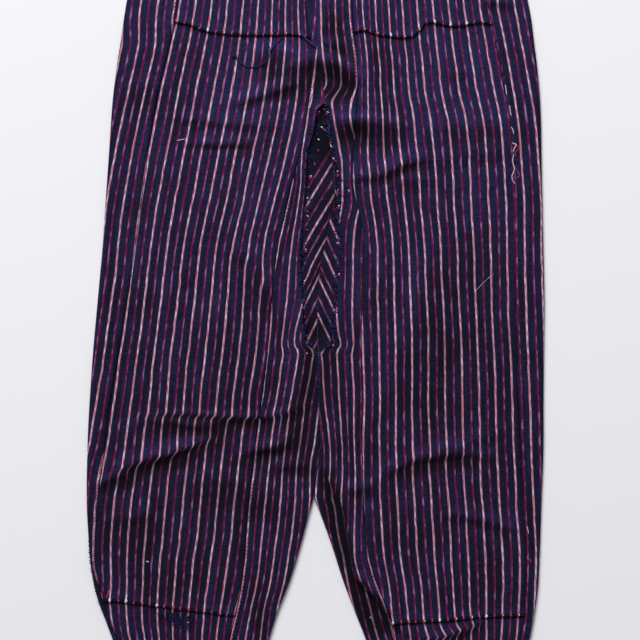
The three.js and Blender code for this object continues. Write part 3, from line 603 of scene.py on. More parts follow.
for side in legs:
    pieces[f"{side}_back"] = backPanel(side)
print("back panels made")

gussetGrid = {"columns": 20, "step": 1.6, "bend": 8, "below": 3.0}
# Relief near the middle seam and the edge, and the painted shade of the gusset where it lies deep: in all,
# near the crotch (height and reach), along its edge, and in each half's deepest shadow.
gussetLook = {"ripple": (0.5, 14, 9), "seamDip": 0.9, "seamWide": 0.12, "edgeRise": 0.6, "edgeWide": 0.3,
              "shaded": -0.2, "crotchShade": 0.55, "crotchAt": (-8, 13), "edgeShade": 0.6,
              "edgeShadeWide": 0.09,
              "deepShade": 0.6, "deepAt": {"left": (216, 26), "right": (170, 42)}, "mottle": (0.2, 9, 13)}
# Where the sloping stripes cross the line x = cross, and how steeply they rise there.
gussetStripes = {
    "left": {"cross": 4.2, "lean": 1, "rows": table(("y", "stripe", "rise"), [
        (262, 0.1, 1.6), (192, 0.36, 1.65), (165, 1, 1.65), (144, 1.5, 1.65), (123, 2, 1.65), (105, 2.5, 1.7),
        (86, 3, 1.8), (70, 3.5, 1.9), (57, 4, 2.1), (34, 4.5, 2.1), (8, 5, 2.1), (-40, 6, 2.1)])},
    "right": {"cross": 16.2, "lean": -1, "rows": table(("y", "stripe", "rise"), [
        (262, -1.2, 2.4), (180, 0.8, 2.4), (121, 2, 2.4), (92, 2.5, 2.3), (67, 3, 2.2), (41, 3.5, 2.1),
        (23, 4, 2.1), (0, 4.5, 2.1), (-40, 5.4, 2.1)])},
}


def gussetHalf(side):
    leg = legs[side]
    radius = laidFlat / 2
    bendY = garment["crotch"] - gussetGrid["below"] + radius
    count = int(math.ceil((garment["gussetTop"] - bendY) / gussetGrid["step"]))
    down = np.linspace(garment["gussetTop"], bendY, count + 1)
    angle = np.linspace(math.pi / 2, -math.pi / 2, gussetGrid["bend"] + 1)[1:-1]
    y = np.concatenate([down, bendY - radius * np.cos(angle), down[::-1]])[:, None]
    lift = np.concatenate([np.ones(count + 1), 0.5 + 0.5 * np.sin(angle), np.zeros(count + 1)])[:, None]
    share = np.linspace(0, 1, gussetGrid["columns"] + 1)[None, :]
    x = blend(insideEdge(leg, y) - leg["side"] * garment["seamGap"],
              readTable(gussetSeam, "x", y) + leg["side"] * halfGap, share)
    rowsY = np.broadcast_to(y, x.shape)
    look = gussetLook
    relief = rumpled([look["ripple"]], x, rowsY)
    relief = relief - look["seamDip"] * mound(share - 1, look["seamWide"])
    relief = relief + look["edgeRise"] * mound(share, look["edgeWide"])
    onTop = lift == 1
    z = laidFlat * lift + relief * onTop
    slope = gussetStripes[side]
    crossing = rowsY - slope["lean"] * readTable(slope["rows"], "rise", rowsY) * (x - slope["cross"])
    stripe = readTable(slope["rows"], "stripe", crossing)
    along = (rowsY + x * slope["lean"]) / garment["pitch"]
    crotchY, crotchReach = look["crotchAt"]
    deepY, deepReach = look["deepAt"][side]
    # painted shade: darker all over where the gusset lies deep, near the crotch, along its edge and at each
    # half's deepest place; the mottle is random tone
    paintedLight = look["shaded"] - look["crotchShade"] * mound(rowsY - crotchY, crotchReach)
    paintedLight = paintedLight - look["edgeShade"] * mound(share, look["edgeShadeWide"])
    paintedLight = paintedLight - look["deepShade"] * mound(rowsY - deepY, deepReach) + rumpled([look["mottle"]], x, rowsY)
    piece = gridMesh(f"{side}Gusset", np.stack([x, rowsY, z], -1), stripe, along, paintedLight, side == "right")
    return thicken(piece, garment["shell"])


for side in legs:
    pieces[f"gusset_{side}"] = gussetHalf(side)
print("gusset made")

band = {"columns": 150, "rows": 14, "ruck": 0.5, "height": 6.2, "turns": 2 * garment["shell"] + 0.4,
        "bend": 8,
        "wander": 30, "ripple": 0.4, "rippleSize": 12}


def casing(name, node, endsAt, gathers, seed):
    low, high = nodeBox[node]
    top, bottom = high.y / mm, low.y / mm
    y = np.linspace(top, bottom, band["rows"] + 1)[:, None]
    start, end = endsAt(y)
    radius = band["height"] / 2
    half = np.linspace(0, 1, band["columns"] + 1)[None, :]
    arc = np.linspace(math.pi / 2, -math.pi / 2, band["bend"] + 1)[None, 1:-1]
    x = np.hstack([blend(start + radius, end - radius, half), end - radius + radius * np.cos(arc),
                   blend(end - radius, start + radius, half), start + radius - radius * np.cos(arc[:, ::-1])])
    middle = radius + 0 * y
    z = np.hstack([2 * middle + 0 * half, middle + radius * np.sin(arc), 0 * y * half,
                   middle + radius * np.sin(arc[:, ::-1])])
    rowsY = np.broadcast_to(y, x.shape)
    upper = np.zeros(x.shape)
    upper[:, :band["columns"] + 1] = 1
    drift = 2 * unevenness(x, rowsY, band["wander"], seed)
    wave = np.sin(2 * math.pi * gathers * (x - start) / (end - start) + drift)
    crown = 1 - (2 * (y - bottom) / (top - bottom) - 1) ** 4
    ripple = band["ripple"] * unevenness(x, rowsY, band["rippleSize"], seed + 1)
    z = z + upper * (band["ruck"] * wave + ripple) * crown
    x, z, rowsY = (np.hstack([a, a[:, :1]]) for a in (x, z, rowsY))
    points = np.stack([x, rowsY, z], -1)
    piece = gridMesh(name, points, x / garment["pitch"], rowsY / garment["pitch"], 0 * x, False)
    return thicken(piece, band["turns"])


def waistEnds(y):
    return legLine(legs["left"], "edge", y), legLine(legs["right"], "edge", y)


def hemEnds(leg, y):
    a, b = legLine(leg, "edge", y), insideEdge(leg, y)
    return np.minimum(a, b), np.maximum(a, b)


pieces["waistband"] = casing("waistBand", "waistband", waistEnds, 26, 21)
for side, leg in legs.items():
    pieces[f"{side}_hem_band"] = casing(f"{side}HemBand", f"{side}_hem_band", partial(hemEnds, leg), 9,
                                        30 + leg["side"])
print("bands made")

yarnLook = {"sides": 5, "pinch": 0.4, "steps": 3}
yarns = {"navy": [], "indigo": [], "red": [], "white": [], "magenta": []}


def layYarn(colour, points, radius, lift):
    yarns[colour].append((smoothPath(points, yarnLook["steps"]), radius, lift))


def clothTop(x, y):
    # height of whatever lies uppermost at each point of the front
    top = [frontTop(leg, x, y)[0] for leg in legs.values()]
    centre, half = readTable(spine, "centre", y), readTable(spine, "half", y)
    between = np.where(y > garment["crotch"], laidFlat, 0)
    return np.where(np.abs(x - centre) < half, between, np.where(x < centre, top[0], top[1]))


def tube(path, radius, lift, z):
    centre = np.column_stack([path, z + radius + lift])
    along = np.gradient(centre, axis=0)
    along /= np.linalg.norm(along, axis=1)[:, None]
    aside = np.cross(along, (0, 0, 1))
    aside /= np.linalg.norm(aside, axis=1)[:, None]
    over = np.cross(aside, along)
    turn = np.linspace(0, 2 * math.pi, yarnLook["sides"], endpoint=False)[None, :, None]
    thick = np.full(len(centre), radius)
    thick[[0, -1]] *= yarnLook["pinch"]
    ring = np.cos(turn) * aside[:, None] + np.sin(turn) * over[:, None]
    points = centre[:, None] + thick[:, None, None] * ring
    index = np.arange(points.shape[0] * points.shape[1]).reshape(points.shape[:2])
    beside = np.roll(index, -1, axis=1)
    quads = np.stack([index[:-1], index[1:], beside[1:], beside[:-1]], -1).reshape(-1, 4)
    return points.reshape(-1, 3), quads.tolist() + [index[0].tolist(), index[-1][::-1].tolist()]


def yarnPiece(name, rows):
    flat = np.vstack([path for path, radius, lift in rows])
    starts = np.cumsum([len(path) for path, radius, lift in rows])[:-1]
    points, faces = [], []
    first = 0
    for (path, radius, lift), z in zip(rows, np.split(clothTop(flat[:, 0], flat[:, 1]), starts)):
        shape, sides = tube(path, radius, lift, z)
        points.append(shape)
        faces += [[first + corner for corner in face] for face in sides]
        first += len(shape)
    return addMesh(name, np.vstack(points), faces)


frayLook = {"bend": 0.9, "reach": (0.5, 1.3), "lift": (0, 0.5)}


def fray(random, colour, x, y, heading, spread, length, count, radius, scatter):
    # loose fibres that start about one place and lie along a heading, given in turns
    for _ in range(count):
        angle = 2 * math.pi * (heading + random.uniform(-spread, spread))
        bend = angle + random.uniform(-frayLook["bend"], frayLook["bend"])
        reach = 0.5 * length * random.uniform(*frayLook["reach"])
        a = np.array([x, y]) + random.uniform(-scatter, scatter, 2)
        b = a + reach * np.array([math.cos(angle), math.sin(angle)])
        c = b + reach * np.array([math.cos(bend), math.sin(bend)])
        layYarn(colour, [a, b, c], radius, random.uniform(*frayLook["lift"]))


stitch = {"long": 2.3, "every": 4.4, "off": 2.5, "radius": 0.28, "lift": -0.05, "clear": 6}


def seamStitches():
    # running stitches beside the long seams
    for leg in legs.values():
        for seam, outward in (("outerSeam", leg["side"]), ("innerSeam", -leg["side"])):
            for y in np.arange(panelBottom + stitch["clear"], panelTop - stitch["clear"], stitch["every"]):
                ends = np.array([y, y + stitch["long"]])
                x = legLine(leg, seam, ends) + outward * stitch["off"]
                layYarn("navy", np.column_stack([x, ends]), stitch["radius"], stitch["lift"])


def seamCrossings(side, seam):
    # where the pink and the purple stripes of a front panel meet a cross seam
    share = np.linspace(0.005, 0.995, 400)
    y = readTable(crossSeams[side][seam], "y", share, "across")
    x, z, stripe, paintedLight = frontFace(side, share, y)
    for half in range(int(math.ceil(2 * stripe.min())), int(math.floor(2 * stripe.max())) + 1):
        nearest = np.argmin(np.abs(stripe - half / 2))
        yield x[nearest], y[nearest], half % 2 == 0


# The turned raw edge of a cross seam: its roll, its fibres and the cut ends of the coloured yarns.
rawEdge = {
    "points": 40, "run": 3, "ragged": (-1.1, 0.5), "roll": (0.5, 0.8), "rollLift": 1.4, "frayUp": 0.6,
    "fray": {"heading": 0.25, "spread": 0.2, "length": 3.0, "count": 3, "radius": 0.28, "scatter": 0.8},
    "tall": (1.2, 3.6), "aside": (-1.4, 1.4), "below": 1.4, "bentAt": (0.4, 0.3), "lift": 2.2,
    "pinkRadius": 1.15, "purpleRadius": 0.85, "strand": (0.9, -0.8, 1.1, 0.7), "strandRadius": 0.55,
    "strandLift": 3.0,
}


def crossSeamYarns(seed):
    random = np.random.default_rng(seed)
    edge = rawEdge
    bentAside, bentUp = edge["bentAt"]
    strandX, strandY, strandTopX, strandTall = edge["strand"]
    for side in legs:
        for seam in crossSeams[side]:
            share = np.linspace(0, 1, edge["points"])
            y = readTable(crossSeams[side][seam], "y", share, "across")
            x = frontFace(side, share, y)[0]
            run = edge["run"]
            for k in range(0, len(x) - run, run):
                stretch = zip(x[k:k + run + 1], y[k:k + run + 1])
                points = [(a, b + random.uniform(*edge["ragged"])) for a, b in stretch]
                layYarn("navy", points, random.uniform(*edge["roll"]), edge["rollLift"])
            for a, b in zip(x[1:-1], y[1:-1]):
                fray(random, "indigo", a, b + edge["frayUp"], **edge["fray"])
            for a, b, pink in seamCrossings(side, seam):
                tall = random.uniform(*edge["tall"])
                aside = random.uniform(*edge["aside"])
                colour = random.choice(["red", "red", "white"]) if pink else "magenta"
                stub = [(a + aside, b - edge["below"]), (a + bentAside * aside, b + bentUp * tall)]
                stub.append((a, b + tall))
                layYarn(colour, stub, edge["pinkRadius" if pink else "purpleRadius"], edge["lift"])
                if pink:
                    strand = [(a + strandX, b + strandY), (a + strandTopX, b + strandTall * tall)]
                    layYarn("white", strand, edge["strandRadius"], edge["strandLift"])


# Ends of coloured yarns in the gusset's two side seams: colour, place, how far they reach across and up.
gussetEnds = [
    ("red", (-0.6, 246.6), (4.2, 0.8)), ("white", (1.6, 250.0), (2.6, 1.2)),
    ("magenta", (9.4, 259.6), (2.4, 1.4)), ("magenta", (7.0, 254.6), (2.6, -1.4)),
    ("white", (12.6, 250.6), (2.0, -1.8)), ("red", (11.2, 246.8), (2.2, 1.2)),
    ("white", (5.0, 232.6), (2.8, -1.4)), ("magenta", (7.4, 230.4), (5.0, -3.6)),
    ("white", (1.4, 218.0), (2.2, -1.4)), ("red", (15.8, 212.4), (2.4, 1.4)),
    ("white", (17.0, 211.2), (0.8, -3.2)), ("red", (1.6, 205.4), (1.0, -2.8)),
    ("white", (19.0, 195.0), (2.6, -1.0)), ("magenta", (21.0, 193.6), (3.0, -3.6)),
    ("magenta", (-2.6, 190.0), (1.0, -4.0)), ("white", (24.4, 178.6), (1.8, 0.4)),
    ("red", (25.4, 176.6), (0.4, -4.4)), ("white", (-8.0, 173.0), (2.6, 0.6)),
    ("red", (-9.0, 170.8), (4.2, 0.4)), ("magenta", (25.0, 156.4), (0.6, -3.4)),
    ("white", (25.6, 157.6), (1.0, -1.0)), ("white", (-11.8, 147.0), (2.0, 0.2)),
    ("white", (25.8, 138.0), (2.0, -0.6)), ("red", (24.0, 135.6), (3.0, -1.0)),
    ("red", (-13.0, 131.0), (3.8, 0.2)), ("white", (-11.2, 126.6), (1.2, -2.2)),
    ("magenta", (26.4, 119.4), (1.0, -2.8)), ("magenta", (-12.0, 110.0), (2.0, -2.0)),
    ("magenta", (26.4, 98.4), (1.8, -0.8)), ("white", (24.2, 92.8), (2.0, 1.2)),
    ("red", (25.8, 92.2), (1.6, -1.6)), ("white", (-13.6, 85.8), (1.6, -0.6)),
    ("red", (-13.8, 84.2), (2.6, -2.2)), ("red", (25.0, 54.4), (3.0, -0.4)),
    ("white", (26.2, 56.0), (1.6, 0.4)), ("red", (-14.8, 46.0), (1.0, -3.0)),
    ("white", (-15.0, 48.4), (1.6, -1.2)), ("magenta", (-16.0, 26.0), (1.4, -2.6)),
    ("magenta", (21.6, 14.0), (1.6, -2.0)), ("red", (-14.8, 6.0), (1.2, -2.4)),
    ("magenta", (-12.6, -17.0), (1.2, -1.6)), ("white", (-11.8, -38.6), (1.0, -0.6)),
    ("white", (19.4, -29.0), (1.0, -0.8)),
]
gussetEdge = {
    "radius": 0.7, "lift": 0.5, "arch": 0.3, "bottom": 6, "top": 4, "every": 1.3, "least": 0.2, "reach": 3.4,
    "vary": 1.8, "wave": 9,
    "fray": {"spread": 0.1, "length": 4.2, "count": 3, "radius": 0.36, "scatter": 0.8},
}


def gussetYarns(seed):
    random = np.random.default_rng(seed)
    look = gussetEdge
    for colour, (x, y), (across, up) in gussetEnds:
        middle = (x + 0.5 * across, y + 0.5 * up + look["arch"])
        layYarn(colour, [(x, y), middle, (x + across, y + up)], look["radius"], look["lift"])
    for leg in legs.values():
        first, last = garment["crotch"] + look["bottom"], garment["gussetTop"] - look["top"]
        for y in np.arange(first, last, look["every"]):
            ragged = look["reach"] + look["vary"] * math.sin(y / look["wave"] + leg["side"])
            x = insideEdge(leg, y) - leg["side"] * random.uniform(look["least"], ragged)
            colour = "indigo" if random.random() < 0.5 else "navy"
            fray(random, colour, x, y, random.uniform(0, 1), **look["fray"])


# Loose yarns: colour, thickness and route.
looseYarns = [
    ("indigo", 0.62, [(-65, 343), (-61, 336), (-56, 328), (-56, 319), (-60, 311), (-70, 305), (-80, 304),
        (-88, 307), (-94, 313), (-99, 318)]),
    ("indigo", 0.6, [(-40, 341), (-46, 334), (-53, 326), (-56, 320)]),
    ("indigo", 1.5, [(-19, 347), (-13, 338), (-6, 332), (0, 327)]),
    ("navy", 1.2, [(-101, 316), (-98, 317), (-96, 314)]),
    ("indigo", 0.5, [(-104, 319), (-100, 315), (-94, 318)]),
    ("red", 0.4, [(235, 211), (240, 210), (242, 206), (238, 201), (239, 196)]),
    ("white", 0.5, [(234, 213), (239, 211), (237, 207), (235, 201)]),
    ("white", 0.42, [(236, 200), (235, 192), (236, 186), (237, 181), (234, 174), (235, 168), (238, 164)]),
    ("magenta", 0.34, [(237, 187), (239, 181), (243, 176), (241, 171), (238, 170), (239, 160), (240, 145)]),
    ("magenta", 0.28, [(237, 176), (241, 172), (243, 174), (240, 178)]),
    ("white", 0.42, [(226, 283), (227, 277), (228, 270)]),
    ("white", 0.38, [(231, 258), (232, 251), (233, 245)]),
    ("white", 0.42, [(233, 232), (235, 228), (236, 223)]),
    ("red", 0.5, [(255, -284), (256, -287), (256, -289)]),
    ("white", 0.3, [(252, -246), (253, -250), (254, -255)]),
    ("magenta", 0.3, [(250, -330), (251, -336), (252, -342)]),
    ("indigo", 0.5, [(-176, -350), (-175, -357), (-171, -361), (-173, -365)]),
    ("indigo", 0.5, [(-166, -366), (-159, -369), (-155, -365), (-157, -360)]),
    ("magenta", 0.5, [(-258, -325), (-256, -331), (-254, -336)]),
    ("red", 0.6, [(-249, -322), (-250, -328), (-252, -331)]),
    ("white", 0.4, [(-167, 216), (-162, 217), (-157, 218)]),
    ("white", 0.16, [(189, 34), (200, 46), (212, 57)]),
    ("white", 0.6, [(-204, -288), (-202, -288), (-201, -289)]),
    ("white", 0.5, [(64, -355), (65, -355), (65, -356)]),
    ("white", 0.5, [(38, 157), (39, 156), (39, 154)]),
]
looseLift = 0.5
# Tufts of fibres: at the corner of the left knee seam, the tangle below it, and two worn places higher up.
tuftColumns = ("colour", "x", "y", "heading", "spread", "length", "count", "radius", "scatter")
tufts = [
    ("navy", -256, -334, 0.6, 0.16, 6, 26, 0.26, 1.6),
    ("navy", -172, -352, 0.7, 0.4, 7, 18, 0.42, 3.4), ("indigo", -172, -352, 0.7, 0.5, 6, 9, 0.36, 3.4),
    ("navy", -166, -358, 0.7, 0.4, 7, 30, 0.42, 3.4), ("indigo", -166, -358, 0.7, 0.5, 6, 15, 0.36, 3.4),
    ("navy", -158, -364, 0.7, 0.4, 7, 26, 0.42, 3.4), ("indigo", -158, -364, 0.7, 0.5, 6, 13, 0.36, 3.4),
    ("navy", -152, -356, 0.7, 0.4, 7, 12, 0.42, 3.4), ("indigo", -152, -356, 0.7, 0.5, 6, 6, 0.36, 3.4),
    ("navy", 236, 190, 0.75, 0.2, 4, 16, 0.22, 3), ("indigo", -98, 316, 0.4, 0.3, 4, 12, 0.22, 1),
]
# Overcast edge above the left knee seam: where each stitch starts and bends, how far it reaches out and down.
overcast = {"bottom": -326, "top": -262, "every": 3.1, "start": (4.5, 2), "middle": (1.8, 0.6),
            "out": (-0.2, 1.3), "down": (-1.2, 1.8), "radius": (0.5, 0.8), "lift": -1}


def tuftsAndLooseYarns(seed):
    random = np.random.default_rng(seed)
    for colour, radius, route in looseYarns:
        layYarn(colour, route, radius, looseLift)
    for tuft in tufts:
        fray(random, **dict(zip(tuftColumns, tuft)))
    for y in np.arange(overcast["bottom"], overcast["top"], overcast["every"]):
        out = random.uniform(*overcast["out"])
        x, down = legLine(legs["left"], "edge", y), random.uniform(*overcast["down"])
        (startX, startY), (middleX, middleY) = overcast["start"], overcast["middle"]
        points = [(x + startX, y + startY - down), (x + middleX, y + middleY), (x - out, y - down)]
        layYarn("navy", points, random.uniform(*overcast["radius"]), overcast["lift"])


seamStitches()
crossSeamYarns(51)
gussetYarns(52)
tuftsAndLooseYarns(53)
yarnPieces = {colour: yarnPiece(f"{colour}Yarns", rows) for colour, rows in yarns.items()}
print("yarns laid", {colour: len(rows) for colour, rows in yarns.items()})


def ink(*screen):
    # a screen colour from 0 to 255 as the shader's linear colour
    linear = lambda c: c / 255 / 12.92 if c <= 10 else ((c / 255 + 0.055) / 1.055) ** 2.4
    return tuple(linear(c) for c in screen) + (1,)


def put(tree, socket, value):
    if isinstance(value, bpy.types.NodeSocket):
        tree.links.new(value, socket)
    else:
        socket.default_value = value


def maths(tree, operation, *values):
    node = tree.nodes.new("ShaderNodeMath")
    node.operation = operation
    for slot, value in zip(node.inputs, values):
        put(tree, slot, value)
    return node.outputs[0]


def mapped(tree, value, fromLow, fromHigh, toLow=0.0, toHigh=1.0):
    node = tree.nodes.new("ShaderNodeMapRange")
    node.interpolation_type = "SMOOTHSTEP"
    sockets = ("Value", "From Min", "From Max", "To Min", "To Max")
    for name, number in zip(sockets, (value, fromLow, fromHigh, toLow, toHigh)):
        put(tree, node.inputs[name], number)
    return node.outputs[0]


def mixed(tree, factor, first, second):
    node = tree.nodes.new("ShaderNodeMix")
    node.data_type = "RGBA"
    for slot, value in ((0, factor), (6, first), (7, second)):  # the colour sockets of a Mix node
        put(tree, node.inputs[slot], value)
    return node.outputs[2]


def shaded(tree, colour, shade):
    node = tree.nodes.new("ShaderNodeVectorMath")
    node.operation = "SCALE"
    put(tree, node.inputs[0], colour)
    put(tree, node.inputs["Scale"], shade)
    return node.outputs[0]


def speckle(tree, x, y, scaleX, scaleY, detail, seed):
    place = tree.nodes.new("ShaderNodeCombineXYZ")
    put(tree, place.inputs[0], maths(tree, "MULTIPLY", x, scaleX))
    put(tree, place.inputs[1], maths(tree, "MULTIPLY", y, scaleY))
    place.inputs[2].default_value = seed
    noise = tree.nodes.new("ShaderNodeTexNoise")
    noise.inputs["Scale"].default_value = 1
    noise.inputs["Detail"].default_value = detail
    put(tree, noise.inputs["Vector"], place.outputs[0])
    return noise.outputs["Fac"]


def newGroup(name, inputs, outputs):
    group = bpy.data.node_groups.new(name, "ShaderNodeTree")
    for socket, value in inputs.items():
        kind = "NodeSocketColor" if isinstance(value, tuple) else "NodeSocketFloat"
        group.interface.new_socket(socket, in_out="INPUT", socket_type=kind).default_value = value
    for socket, kind in outputs.items():
        group.interface.new_socket(socket, in_out="OUTPUT", socket_type=kind)
    return group, group.nodes.new("NodeGroupInput").outputs, group.nodes.new("NodeGroupOutput").inputs


stripeInputs = {
    "Across": 0.0, "Along": 0.0, "Painted light": 0.5, "Pink width": 0.045, "Purple width": 0.056,
    "Ground": ink(15, 14, 32), "Ground light": ink(34, 34, 76), "White yarn": ink(203, 190, 212),
    "Red yarn": ink(190, 38, 64), "Purple": ink(100, 18, 64), "Mauve": ink(138, 92, 136),
}
# How yarns and dye vary: scale across, scale along, detail and seed of each noise.
stripeNoise = {
    "wander": (9, 1.3, 1, 0), "turns": (5.7, 2.2, 1, 0), "redness": (7.31, 0.9, 2, 3),
    "sideways": (3.1, 1.1, 1, 6), "dull": (3.7, 0.45, 2, 8), "dashes": (5.13, 1.5, 1, 12),
    "warp": (22, 3, 2, 20), "weft": (1.7, 9, 3, 31), "patches": (0.35, 0.35, 1, 44),
    "streaks": (3.3, 0.22, 2, 57),
}
# How strong each noise is. A pair is the range that a mask rises over, and two more are what it rises to.
stripeLook = {
    "soft": 0.014, "wander": 0.035, "twist": 9.0, "twistSlant": 42.0, "twistVary": 0.35, "twistShare": 0.7,
    "rednessShare": 3.4, "red": (0.7, 1.9), "sideways": 0.09, "core": (0.038, 0.018),
    "dull": (0.45, 0.75, 0.0, 0.45), "dashSlant": 2.2, "dash": (0.53, 0.66), "warp": 0.3, "weft": 0.6,
    # The ground's tone follows the painted light too, and the last two entries turn it into painted shade in
    # hollows and painted highlight on crests.
    "patches": 0.3, "streaks": 0.5, "paintedLightTone": 0.5, "tone": (0.42, 0.86), "fringe": (0.12, 0.07, 0.0, 0.4),
    "hollow": (0.0, 0.5, 0.36, 1.0), "crestHighlight": (0.5, 1.0, 1.0, 1.25),
}


def stripeGroup():
    # woven stripes from the count across (whole numbers are the pink ones) and the distance along
    group, given, made = newGroup("wovenStripes", stripeInputs, {"Color": "NodeSocketColor"})
    plus, minus, times, size, whole = (
        partial(maths, group, kind) for kind in ("ADD", "SUBTRACT", "MULTIPLY", "ABSOLUTE", "ROUND"))
    ramp, mix = partial(mapped, group), partial(mixed, group)
    noise = lambda name, x, y: speckle(group, x, y, *stripeNoise[name])
    look = stripeLook
    across, along, paintedLight = (given[name] for name in ("Across", "Along", "Painted light"))
    pinkNumber = whole(across)
    pinkOff = minus(across, pinkNumber)
    shifted = plus(across, 0.5)
    purpleNumber = whole(shifted)
    purpleOff = minus(shifted, purpleNumber)
    wander = times(minus(noise("wander", across, along), 0.5), look["wander"])
    pinkAway, purpleAway = size(plus(pinkOff, wander)), size(plus(purpleOff, wander))
    within = lambda away, width: ramp(away, plus(width, look["soft"]), minus(width, look["soft"]))
    pinkMask = within(pinkAway, given["Pink width"])
    purpleMask = within(purpleAway, given["Purple width"])
    # pink: white yarn at the edges, a red and white twist in the middle
    turns = plus(along, times(noise("turns", pinkNumber, along), look["twistVary"]))
    twist = maths(group, "SINE", plus(times(turns, look["twist"]), times(pinkOff, look["twistSlant"])))
    redness = noise("redness", pinkNumber, along)
    twisted = plus(times(twist, look["twistShare"]), times(redness, look["rednessShare"]))
    twistMask = ramp(twisted, *look["red"])
    sideways = times(minus(noise("sideways", pinkNumber, along), 0.5), look["sideways"])
    redMask = times(ramp(size(plus(pinkOff, sideways)), *look["core"]), twistMask)
    pink = mix(redMask, given["White yarn"], given["Red yarn"])
    pink = mix(ramp(noise("dull", pinkNumber, along), *look["dull"]), pink, given["Mauve"])
    # purple: dark magenta with pale dashes now on one edge and now on the other
    dash = plus(noise("dashes", purpleNumber, along), times(purpleOff, look["dashSlant"]))
    purple = mix(ramp(dash, *look["dash"]), given["Purple"], given["Mauve"])
    # ground: indigo warp with weft picks that took the dye unevenly, paler under painted highlight, darker
    # under painted shade
    warp, weft, patches, streaks = (
        noise(name, across, along) for name in ("warp", "weft", "patches", "streaks"))
    tone = plus(times(warp, look["warp"]), times(weft, look["weft"]))
    tone = plus(tone, times(patches, look["patches"]))
    tone = plus(tone, times(minus(streaks, 0.5), look["streaks"]))
    tone = plus(tone, times(minus(paintedLight, 0.5), look["paintedLightTone"]))
    ground = mix(ramp(tone, *look["tone"]), given["Ground"], given["Ground light"])
    ground = mix(ramp(pinkAway, *look["fringe"]), ground, given["Purple"])
    colour = mix(pinkMask, mix(purpleMask, ground, purple), pink)
    # painted shade darkens the colour where the painted light is low and painted highlight brightens it where
    # it is high
    shade = times(ramp(paintedLight, *look["hollow"]), ramp(paintedLight, *look["crestHighlight"]))
    group.links.new(shaded(group, colour, shade), made["Color"])
    return group


weaveLook = {"threads": 0.6, "slub": (14, 3, 2, 5), "shade": (0.3, 0.7, 0.8, 1.15)}


def weaveGroup():
    # plain weave: height and a darkening between the threads
    inputs = {"Across": 0.0, "Along": 0.0, "Threads": 25.0, "Unevenness": 0.35}
    outputs = {"Height": "NodeSocketFloat", "Shade": "NodeSocketFloat"}
    group, given, made = newGroup("plainWeave", inputs, outputs)
    times = partial(maths, group, "MULTIPLY")
    wave = lambda name: maths(group, "SINE", times(times(given[name], given["Threads"]), math.pi))
    threads = maths(group, "ABSOLUTE", times(wave("Across"), wave("Along")))
    slub = speckle(group, given["Across"], given["Along"], *weaveLook["slub"])
    height = maths(group, "ADD", times(threads, weaveLook["threads"]), times(slub, given["Unevenness"]))
    group.links.new(height, made["Height"])
    group.links.new(mapped(group, slub, *weaveLook["shade"]), made["Shade"])
    return group


stripes = stripeGroup()
weave = weaveGroup()


def placeGroup(tree, group, values):
    node = tree.nodes.new("ShaderNodeGroup")
    node.node_tree = group
    for name, value in values.items():
        put(tree, node.inputs[name], value)
    return node.outputs


def newMaterial(name, values):
    material = bpy.data.materials.new(name)
    material.use_nodes = True
    shader = material.node_tree.nodes["Principled BSDF"]
    for socket, value in values.items():
        shader.inputs[socket].default_value = value
    return material, material.node_tree, shader


def addBump(tree, shader, height, strength, depth):
    bump = tree.nodes.new("ShaderNodeBump")
    bump.inputs["Strength"].default_value = strength
    bump.inputs["Distance"].default_value = depth * mm
    tree.links.new(height, bump.inputs["Height"])
    tree.links.new(bump.outputs[0], shader.inputs["Normal"])


def readLayer(tree, name):
    layer = tree.nodes.new("ShaderNodeUVMap")
    layer.uv_map = name
    place = tree.nodes.new("ShaderNodeSeparateXYZ")
    tree.links.new(layer.outputs[0], place.inputs[0])
    return place.outputs


clothLook = {
    "surface": {"Roughness": 0.85, "Specular IOR Level": 0.12, "Sheen Weight": 0.04, "Sheen Roughness": 0.5,
                "Sheen Tint": ink(120, 125, 190)},
    "bump": 0.5, "bumpDepth": 0.3, "bandSpeckle": (18, 18, 2, 0), "bandDark": ink(24, 22, 44),
    "bandLight": ink(36, 36, 70),
}


def clothMaterial(name, striped):
    material, tree, shader = newMaterial(name, clothLook["surface"])
    across, along = readLayer(tree, "Cloth")[:2]
    cloth = placeGroup(tree, weave, {"Across": across, "Along": along})
    if striped:
        # painted shade and painted highlight, read from their UV layer
        paintedLight = readLayer(tree, "Painted light")[0]
        colour = placeGroup(tree, stripes, {"Across": across, "Along": along, "Painted light": paintedLight})["Color"]
    else:
        blotches = speckle(tree, across, along, *clothLook["bandSpeckle"])
        colour = mixed(tree, blotches, clothLook["bandDark"], clothLook["bandLight"])
    put(tree, shader.inputs["Base Color"], shaded(tree, colour, cloth["Shade"]))
    addBump(tree, shader, cloth["Height"], clothLook["bump"], clothLook["bumpDepth"])
    return material


stripedCloth = clothMaterial("stripedCotton", True)
bandCloth = clothMaterial("bandCotton", False)

yarnFinish = {
    "surface": {"Roughness": 0.9, "Specular IOR Level": 0.15}, "fibre": (1400, 1400, 2, 0),
    "fibreRange": (0.35, 0.65), "bump": 0.4, "bumpDepth": 0.15,
}
yarnInks = {
    "navy": (ink(14, 12, 28), ink(28, 28, 62)), "indigo": (ink(26, 28, 66), ink(46, 52, 112)),
    "red": (ink(168, 24, 44), ink(222, 66, 84)), "white": (ink(196, 190, 204), ink(236, 232, 240)),
    "magenta": (ink(122, 26, 84), ink(186, 92, 152)),
}


